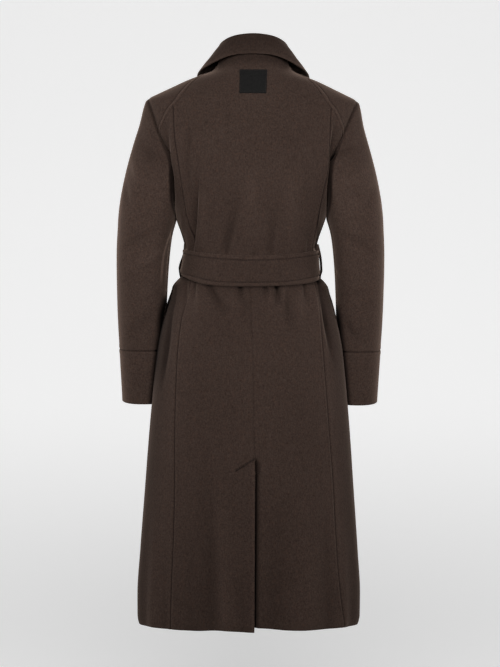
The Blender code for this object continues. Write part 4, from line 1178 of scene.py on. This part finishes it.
ringX, ringY, ringHalfX, ringHalfY, ringTilt = [
    evened(sleeve["rings"][:, 0], sleeve["rings"][:, column], 0.012) for column in range(1, 6)]
# turns at which the two seams of the sleeve leave the armhole
splitBack = math.pi * np.interp(levels["underBack"], loopBack[1], loopBack[0])
splitFront = math.pi * np.interp(levels["underFront"], loopFront[1], loopFront[0])


# point of the armhole seam for a turn round the arm, up the back or the front by its share of half a turn
def armholePoint(turn, side):
    wrapped = (turn + math.pi) % (2 * math.pi) - math.pi
    share = np.abs(wrapped) / math.pi
    onBack = wrapped >= 0
    z = np.where(onBack, np.interp(share, *loopBack[:2]), np.interp(share, *loopFront[:2]))
    angle = np.where(onBack, angleAt(armholeX[1](z), z, 1), angleAt(armholeX[-1](z), z, -1))
    point, out = coatPoint(turned(angle, side), z)
    return point, out, share, np.where(onBack, deepBack(z), deepFront(z)), z


# superellipse, its inner side fuller or flatter, its back lower by the ring's tilt
def sleeveRing(turn, level, side):
    power = 2 / sleeve["square"]
    across = np.sign(np.cos(turn)) * np.abs(np.cos(turn)) ** power
    along = np.sign(np.sin(turn)) * np.abs(np.sin(turn)) ** power
    fuller = sleeve["fuller"]["left" if side < 0 else "right"]
    x = side * (ringX(level) - ringHalfX(level) * across - fuller * np.clip(across, 0, 1))
    y = ringY(level) - ringHalfY(level) * along
    return np.stack([x, y, level - ringTilt(level) * np.sin(turn)], -1)


# creases of the sleeve, across measured round the arm from its inner side over the back
def sleeveRelief(grid, turn, word):
    rows = np.array(sleeve[word], float)
    rows[:, [0, 2]] *= math.pi / 180 * sleeve["around"] * 1000
    return creaseSum(rows, (turn % (2 * math.pi)) * sleeve["around"] + 0 * grid[..., 0], grid[..., 2], 1.0)


# the edge rises out of the armhole seam, then every point of it runs down one smooth Hermite path to the
# first ring, and from ring to ring
def sleeveGrid(side, turn):
    loop, bodyOut, share, deep = armholePoint(turn, side)[:4]
    first = sleeveRing(turn, np.full_like(turn, levels["sleeveRing"]), side)
    second = sleeveRing(turn, np.full_like(turn, levels["secondRing"]), side)
    reach = np.linalg.norm(first - loop, axis=-1, keepdims=True)
    leave = unitOf(np.stack([side * (0.02 + 0.28 * share), 0 * share, -1 + 0 * share], -1)) * reach
    arrive = unitOf(second - first) * reach
    t = rimShares(58, reach[:, 0])[:-6]
    t = (t / t[-1] * (1 - 1 / len(t)))[..., None]
    cap = (1 + 2 * t) * (1 - t) ** 2 * loop + t * (1 - t) ** 2 * leave
    cap = cap + t * t * (3 - 2 * t) * first + t * t * (t - 1) * arrive
    down = levelRows((levels["cuffSeam"] + cloth["gap"] / 2, levels["sleeveRing"], 0.0038))[::-1]
    down = down[(down < levels["sleeveRing"] - 0.003)]
    tube = sleeveRing(turn[None], np.concatenate([[levels["sleeveRing"]], down])[:, None], side)
    sink = np.array([1.25, 1.1, 0.9, 0.7, 0.5, 0.3, 0.14, 0.04])[:, None, None]
    root = loop - bodyOut * deep[:, None] * sink
    close = softStep((np.cos(turn) - 0.2) / 0.6)
    for part in (cap, tube):
        part[..., 0] -= side * sleeve["close"] * close * bell(part[..., 2] + 0.318, 0.020)
    return np.concatenate([root, cap, tube])


# the sleeve rolls out over the armhole seam, most at its head
def headRoll(turn, away):
    high = 0.45 + 0.55 * softStep((np.cos(turn - math.pi) - 0.55) / 0.4)
    return sleeve["headRoll"] * high * softStep(away / 0.006) * softStep((0.060 - away) / 0.050)


# painted light down the arm, painted shadow against the hip, a painted highlight streak where the under
# sleeve shows
def sleeveShade(grid, turn, word):
    x, y, z = np.moveaxis(grid, -1, 0)
    core = 1 + 0.5 * softStep((z + 0.570) / 0.060)
    inner = softStep(core - (np.abs(x) - halfCut(z)) / sleeve["hipReach"])
    inner = inner * softStep((sleeve["shadeFrom"][word] - z) / 0.018)
    turn = (turn + math.pi) % (2 * math.pi) - math.pi
    inner = inner * (0.35 + 0.65 * softStep((turn + 0.85) / 0.60))
    streak = sleeve["streak"][word]
    away = turn - curvesOf(streak["path"])[0](z)
    ends = softStep((streak["from"] - z) / 0.020) * softStep((z - streak["to"]) / 0.030)
    echo = sleeve["echo"] * bell(away - sleeve["echoAt"], sleeve["echoWide"])
    pale = streak["pale"] * (bell(away, sleeve["streakWide"]) + echo)
    down = sleeve["tone"] * softStep((-0.14 - z) / 0.16)
    return (1 + down + pale * ends) * (1 - sleeve["inner"] * inner) - 1


# creases raise the grid along its normal, which looks away from the middle of the arm
def finishSleeve(grid, turn, word):
    flat = np.array([1, 1, 0])
    centre = grid[-1].mean(0) * flat
    outward = gridNormal(grid)
    outward = outward * np.sign(np.sum(outward[-1] * (grid[-1] * flat - centre)))
    creases = sleeveRelief(grid, turn, word)
    tone = sleeveShade(grid, turn, word) + paintedCreaseShade(creases)
    return grid + outward * creases[..., None], outward, tone


for side, word in sides:
    for node, start, end, count in (("sleeve_top_", splitBack, 2 * math.pi - splitFront, 66),
                                    ("sleeve_under_", -splitFront, splitBack, 26)):
        wide = (end - start) * sleeve["around"]
        share = rimShares(count, wide)[:, 0]
        inset = cloth["gap"] / 2 / wide
        turn = start + (end - start) * (inset + share * (1 - 2 * inset))
        grid, outward, tone = finishSleeve(sleeveGrid(side, turn), turn, word)
        fromSeam = np.minimum(share, 1 - share) * wide
        fromHead, fromCuff = runLength(grid, 0)
        fromHead = np.maximum(fromHead - fromHead[8], 0)      # the first 8 rows lie down in the seam
        lift = seamRelief(fromSeam) + headRoll(turn, fromHead) + seamRelief(fromCuff) * 0.8
        grid = grid + outward * lift[..., None]
        fromRoot, fromCuff = runLength(grid, 0)
        deep, high = armholePoint(turn, side)[3:]
        # painted shade of the armhole seam runs onto the sleeve
        rooted = softStep(2 - 2 * (fromRoot - 1.1 * deep) / shadeReach(high))
        tone = tone + seamShadeAndHighlight(fromSeam) + seamShadeAndHighlight(fromCuff) - shadeDark(high) * rooted
        addCloth(node + word, grid, outward, tone=tone)
print("sleeves")

cuff = {"columns": 96, "proud": 0.0004, "creases": 0.7, "hemExtra": 0.0016, "hemTurn": 0.034}
for side, word in sides:
    turn = np.linspace(0, 2 * math.pi, cuff["columns"], endpoint=False)
    rows = levelRows((levels["cuffHem"], levels["cuffSeam"] - cloth["gap"] / 2, 0.0036))
    grid = sleeveRing(turn[None], rows[:, None], side)
    outward = unitOf((grid - grid.mean(1, keepdims=True)) * np.array([1, 1, 0.0]))
    fromSeam = levels["cuffSeam"] - rows
    lift = cuff["proud"] + seamRelief(fromSeam)[:, None] + sleeveRelief(grid, turn, word) * cuff["creases"]
    grid = grid + outward * lift[..., None]
    extra = cuff["hemExtra"] * softStep((levels["cuffHem"] + cuff["hemTurn"] - grid[..., 2]) / 0.0015)
    tone = sleeveShade(grid, turn, word) + paintedCreaseShade(sleeveRelief(grid, turn, word))
    tone = tone + seamShadeAndHighlight(fromSeam)[:, None]
    addCloth("cuff_" + word, grid, outward, extra=extra, ring=True, tone=tone)
print("cuffs")

# belt round the waist: rounded edges, a dip along each stitch line, faint waves
belt = {
    "columns": 300, "rows": 38, "stitchDip": 0.0016, "dipWide": 0.0016, "wave": 0.0005,
    "ringLow": -0.4310,                # below this level it doesn't widen
    "sideEase": (0.0008, 0.0012),      # stands off at the sides, more at its lower edge
    # pale: painted highlight on the pressed edges; dark: painted shade along the stitches
    "tone": -0.05, "pale": 0.14, "paleAt": 0.0040, "paleWide": 0.0030, "dark": 0.34, "darkWide": 0.0011,
    "stitch": {"long": 0.0031, "space": 0.0008, "radius": 0.00034, "sink": 0.00016},
}


# a bell-shaped dip along the stitch line beside each edge
def bandLift(down, wide):
    near = np.minimum(down, wide - down)
    return -belt["stitchDip"] * bell(near - waistband["stitchIn"], belt["dipWide"])


# painted shade along the stitches, painted highlight on the pressed edges
def bandShadeAndHighlight(down, wide):
    near = np.minimum(down, wide - down)
    tone = belt["tone"] + belt["pale"] * bell(near - belt["paleAt"], belt["paleWide"])
    return tone - belt["dark"] * bell(near - waistband["stitchIn"], belt["darkWide"])


# the body's ring moved out; below the waist the belt doesn't widen with the hips
def beltPoint(angle, level, lift):
    point = bodyRing(angle, level) + ringNormal(angle, level) * np.asarray(lift)[..., None]
    share = halfWidth(np.maximum(level, belt["ringLow"])) / halfWidth(level)
    point[..., 0] *= 1 + (share - 1) * np.abs(np.cos(angle)) ** 8
    return point


# belt by the angle and the share of its width: eased off at the sides, waved, dipped at the stitches
def beltSurface(angle, share):
    ease = waistband["lie"] + waistband["thick"]
    ease = ease + (belt["sideEase"][0] + belt["sideEase"][1] * share) * np.abs(np.cos(angle)) ** 4
    wave = belt["wave"] * (np.sin(3 * angle + 5 * share) + 0.7 * np.sin(7 * angle + 1.3 - 4 * share))
    lift = ease + wave + bandLift(waistband["wide"] * share, waistband["wide"])
    return beltPoint(angle, beltLevel(angle, share), lift + 0 * angle)


# the body's normal at the belt's level
def beltOutward(angle, share):
    return ringNormal(angle + 0 * share, waistband["top"] - waistband["wide"] * share + 0 * angle)


angle = np.linspace(0, 2 * math.pi, belt["columns"], endpoint=False)[None]
share = rimShares(belt["rows"], waistband["wide"])
addCloth("belt", beltSurface(angle, share), beltOutward(angle, share), waistband["thick"], ring=True,
         tone=bandShadeAndHighlight(waistband["wide"] * share, waistband["wide"]))
for place, word in ((waistband["stitchIn"], "top"), (waistband["wide"] - waistband["stitchIn"], "low")):
    around = np.linspace(0, 2 * math.pi, 900)
    share = np.full_like(around, place / waistband["wide"])
    settle(stitchRun("belt_stitches_" + word, beltSurface(around, share), beltOutward(around, share), thread,
                     belt["stitch"]))
print("belt")

# knot at the front: a soft lump with slanted wraps; poles at its two sides
knot = {"half": (0.034, 0.013, 0.038), "soft": 0.62, "rise": -0.0022, "above": 0.002,
        "wraps": [(-0.35, 0.55, 0.16, 0.0042), (0.25, 0.50, 0.15, 0.0038), (0.75, 0.45, 0.14, 0.0030)]}


# superellipsoid, its front pressed in along each slanted wrap
def knotGrid():
    tall = math.pi / 2 * (1 - np.cos(np.linspace(0.08, math.pi - 0.08, 40)))[:, None]
    turn = np.linspace(0, 2 * math.pi, 64, endpoint=False)[None]

    def soft(value):
        return np.sign(value) * np.abs(value) ** knot["soft"]

    x = soft(np.cos(tall)) * knot["half"][0] + 0 * turn
    y = soft(np.sin(tall)) * soft(np.cos(turn)) * knot["half"][1]
    z = soft(np.sin(tall)) * soft(np.sin(turn)) * knot["half"][2]
    forward = softStep((y / knot["half"][1] + 0.2) / 0.6)
    for place, slant, wide, deep in knot["wraps"]:
        away = (x / knot["half"][0] - place - slant * z / knot["half"][2]) / wide
        y = y - deep * forward * np.exp(-away ** 2)
    frontY = bodyRing(np.array(-math.pi / 2), np.array(levels["waist"]))[1]
    base = frontY + waistband["lie"] + waistband["thick"] + knot["rise"] + knot["half"][1]
    return np.stack([x, y + base, z + levels["waist"] + knot["above"]], -1)


grid = knotGrid()
index = np.arange(grid.size // 3).reshape(grid.shape[:2])
quads = np.concatenate([quadsOf(index, True), capOf(index[0][::-1]), capOf(index[-1])])
settle(layMesh("belt_knot_cloth", grid.reshape(-1, 3), quads, woolCloth), "belt_knot")

# tails hang from the knot and lie on the skirt with a slow ripple
tail = {"wide": 0.058, "top": -0.4535, "ends": {"right": -0.790, "left": -0.752}, "thick": 0.0040,
        "ripple": 0.0012, "gather": 0.0016, "lift": 0.0022, "knotLift": 0.0095,
        "start": 0.018, "spread": 0.022, "slant": 0.010}
for side, word in sides:
    end = tail["ends"][word]
    share = rimShares(92, tail["top"] - end)[:, 0]
    z = tail["top"] + (end - tail["top"]) * share
    half = tail["wide"] / 2 * (0.50 + 0.50 * softStep(share / 0.2))
    centre = side * (tail["start"] + tail["spread"] * softStep(share / 0.3) + tail["slant"] * share)
    lift = tail["lift"] + tail["knotLift"] * (1 - softStep(share / 0.13))
    across = rimShares(14, tail["wide"])[:, 0] * 2 - 1
    x = centre[:, None] + half[:, None] * across
    level = z[:, None] + 0 * x
    outer, outward = coatPoint(angleAt(x, level, -1), level)
    ripple = tail["ripple"] * np.sin(9 * share[:, None] + 1.5 * side * across) * softStep(share * 3)[:, None]
    gather = tail["gather"] * np.cos(across * 9) * (1 - softStep(share / 0.22))[:, None]
    dip = bandLift((across + 1) * tail["wide"] / 2, tail["wide"]) * softStep(share * 6)[:, None]
    outer[..., 1] += lift[:, None] + ripple + tail["thick"] + gather + dip + tail["ripple"]
    addCloth("belt_tail_" + word, outer, outward, tail["thick"])
print("knot and tails")

# belt loops at the side seams: level and distance from the middle
loop = {"low": -0.462, "high": -0.371, "wide": 0.010, "thick": 0.0048, "foot": 0.0060, "tone": -0.85,
        "left": [(-0.462, 0.1490), (-0.444, 0.1455), (-0.434, 0.1474), (-0.422, 0.1487), (-0.414, 0.1469),
                 (-0.406, 0.1443), (-0.398, 0.1412), (-0.385, 0.1388), (-0.371, 0.1378)],
        "right": [(-0.462, 0.1500), (-0.442, 0.1455), (-0.434, 0.1470), (-0.4285, 0.1491), (-0.410, 0.1482),
                  (-0.393, 0.1460), (-0.385, 0.1440), (-0.371, 0.1405)]}
for side, word in sides:
    z = levelRows((loop["low"], loop["high"], 0.0018))
    path = bodyRing(turned(0 * z, side), z)
    path[:, 0] = side * evened(*np.array(loop[word]).T, 0.002)(z)
    across = (rimShares(4, loop["wide"])[:, 0] - 0.5) * loop["wide"]
    grid = path[:, None] + across[None, :, None] * np.array([0.0, 1.0, 0.0])
    foot = softStep((grid[..., 2] + 0.400) / 0.012)
    addCloth("belt_loop_" + word, grid, np.array([side, 0.0, 0.0]) + 0 * grid, loop["thick"],
             extra=loop["foot"] * foot, tone=loop["tone"] * (1 - 0.9 * foot))
print("belt loops")

# bare woven patch at the nape, sewn down all round
patch = {"half": 0.0275, "low": -0.066, "high": -0.0165, "thick": 0.0012, "stitchIn": 0.0022,
         "press": 0.0004, "stitchDown": 0.0003,
         "stitch": {"long": 0.0024, "space": 0.0008, "radius": 0.00020, "sink": 0.00010}}
z = levelRows((patch["low"], patch["high"], 0.0016))[:, None]
x = (rimShares(22, patch["half"] * 2)[:, 0] * 2 - 1)[None] * patch["half"]
edge = np.minimum(patch["half"] - np.abs(x), np.minimum(z - patch["low"], patch["high"] - z))
press = patch["press"] * bell(edge - patch["stitchIn"], 0.0008)
top = waistband["lie"] + patch["thick"]
outer, outward = coatPoint(angleAt(x + 0 * z, z + 0 * x, 1), z + 0 * x, top - press)
addCloth("nape_patch", outer, outward, patch["thick"], patchCloth, "patch")
inset = patch["half"] - patch["stitchIn"]
low, high = patch["low"] + patch["stitchIn"], patch["high"] - patch["stitchIn"]
corners = np.array([(-inset, low), (inset, low), (inset, high), (-inset, high), (-inset, low)])
runs = np.concatenate([np.linspace(corners[i], corners[i + 1], 30, endpoint=False) for i in range(4)]
                      + [corners[:1]])
path, out = coatPoint(angleAt(runs[:, 0], runs[:, 1], 1), runs[:, 1], top - patch["stitchDown"])
settle(stitchRun("patch_stitches", path, out, thread, patch["stitch"]))
print("patch")

# topstitching along the yoke seams and the slanted bar at the vent
for side, word in sides:
    z = np.linspace(levels["yokeEnd"] + 0.012, levels["neck"] - 0.004, 200)
    edge = seamEdge(yokeX, 1, side)(z)
    angle = edge - side * yoke["stitchIn"] / yokeSquare(z) / ringReach(edge, z)
    point, out = coatPoint(angle, z, -yoke["stitchDip"] * 0.6)
    settle(stitchRun("yoke_stitches_" + word, point, out, thread, yoke["stitch"]))
bar = np.linspace(vent["barStart"], vent["barEnd"], 60)
point, out = coatPoint(angleAt(bar[:, 0], bar[:, 1], 1), bar[:, 1], vent["barLift"], ventOver)
settle(stitchRun("vent_bar_stitches", point, out, thread, vent["stitch"]))
print("stitches")

print("triangles:", sum(pieceLog.values()), max(pieceLog.values()))

# camera at the height of the waist, six metres from the back; turned a little, as the coat hangs
shot = {"pixel": 0.00205, "depth": -0.06, "away": 6.0, "height": -0.40, "centre": (249.5, 333.0),
        "origin": (249.6, 62.0), "roll": 0.3, "tall": 667}
camera = bpy.data.objects.new("camera", bpy.data.cameras.new("camera"))
bpy.context.collection.objects.link(camera)
camera.location = (0.0, shot["depth"] - shot["away"], shot["height"])
target = Vector(((shot["centre"][0] - shot["origin"][0]) * shot["pixel"], shot["depth"],
                 (shot["origin"][1] - shot["centre"][1]) * shot["pixel"]))
look = target - camera.location
camera.rotation_mode = "QUATERNION"
roll = Quaternion((0, 0, 1), math.radians(shot["roll"]))
camera.rotation_quaternion = look.to_track_quat("-Z", "Y") @ roll
camera.data.sensor_width = 36
camera.data.lens = 36 * look.length / (shot["tall"] * shot["pixel"])
camera.data.clip_end = 60
bpy.context.scene.camera = camera

# pale floor that rises slowly into a round wall far behind
studio = {"floor": -1.60, "flat": 2.2, "far": 10.0, "high": 5.0, "wider": 2.6, "pale": 0.84, "glow": 0.506,
          "glowFrom": (-9.0, 2.0), "glowLow": 0.25, "glowRise": (-1.85, -0.95), "glowFoot": 0.585,
          "rings": 50, "turns": 96, "air": 0.22}
radius = np.linspace(0.3, studio["far"], studio["rings"])[:, None]
turn = np.linspace(0, 2 * math.pi, studio["turns"], endpoint=False)[None]
rise = np.clip((radius - studio["flat"]) / (studio["far"] - studio["flat"]), 0, 1)
# the bowl is wider all round than behind the coat, so that a camera on any side stands inside it
wider = 1 + (studio["wider"] - 1) * (1 - softStep((np.sin(turn) - 0.70) / 0.25))
points = np.stack([radius * np.cos(turn), radius * np.sin(turn), studio["high"] * rise ** 3 + 0 * turn], -1)
points = (points * wider[..., None] + np.array([0, 0, studio["floor"]])).reshape(-1, 3)
index = np.arange(studio["rings"] * studio["turns"]).reshape(studio["rings"], studio["turns"])
# the wall is lit from within, most behind the coat and least near the floor and behind the camera
floorMaterial, floorTree = newMaterial("paleFloor")
floorCoords = nodeOf(floorTree, "ShaderNodeTexCoord", {})
floorSplit = nodeOf(floorTree, "ShaderNodeSeparateXYZ", {"Vector": floorCoords.outputs["Object"]})
glow = studio["glow"]
for axis, (low, high), least in (("Y", studio["glowFrom"], studio["glowLow"]),
                                 ("Z", studio["glowRise"], studio["glowFoot"])):
    share = nodeOf(floorTree, "ShaderNodeMapRange", {
        "Value": floorSplit.outputs[axis], "From Min": low, "From Max": high, "To Min": least},
        interpolation_type="SMOOTHSTEP")
    part = nodeOf(floorTree, "ShaderNodeMath", {0: share.outputs["Result"], 1: glow}, operation="MULTIPLY")
    glow = part.outputs[0]
fillNode(floorTree, floorTree.nodes["Principled BSDF"], {
    "Emission Strength": glow, "Emission Color": (1, 1, 1, 1), "Base Color": (studio["pale"],) * 3 + (1.0,),
    "Roughness": 0.95, "Specular IOR Level": 0.0})
quads = np.concatenate([quadsOf(index, True), capOf(index[0][::-1])])
floor = layMesh("floor", points, quads, floorMaterial)

lamps = {
    "front": {"place": (0.0, -3.5, 0.80), "aim": (0, 0, -0.18), "size": 1.2, "power": 18.0, "spread": 50},
    "right": {"place": (2.6, 0.80, -0.10), "aim": (0, 0, -0.40), "size": 1.2, "power": 6.5, "spread": 46},
    "left": {"place": (-2.6, 0.80, -0.10), "aim": (0, 0, -0.40), "size": 1.2, "power": 7, "spread": 46},
}
for name, lamp in lamps.items():
    light = bpy.data.lights.new(name, "AREA")
    light.shape = "SQUARE"
    light.size = lamp["size"]
    light.energy = lamp["power"]
    light.spread = math.radians(lamp["spread"])
    holder = bpy.data.objects.new(name, light)
    holder.location = lamp["place"]
    holder.rotation_mode = "QUATERNION"
    holder.rotation_quaternion = (Vector(lamp["aim"]) - Vector(lamp["place"])).to_track_quat("-Z", "Y")
    bpy.context.collection.objects.link(holder)
world = bpy.data.worlds.new("studioAir")
world.use_nodes = True
fillNode(world.node_tree, world.node_tree.nodes["Background"],
         {"Color": (1, 1, 1, 1), "Strength": studio["air"]})
bpy.context.scene.world = world
bpy.context.scene.view_settings.view_transform = "Standard"
print("camera, floor and lamps")
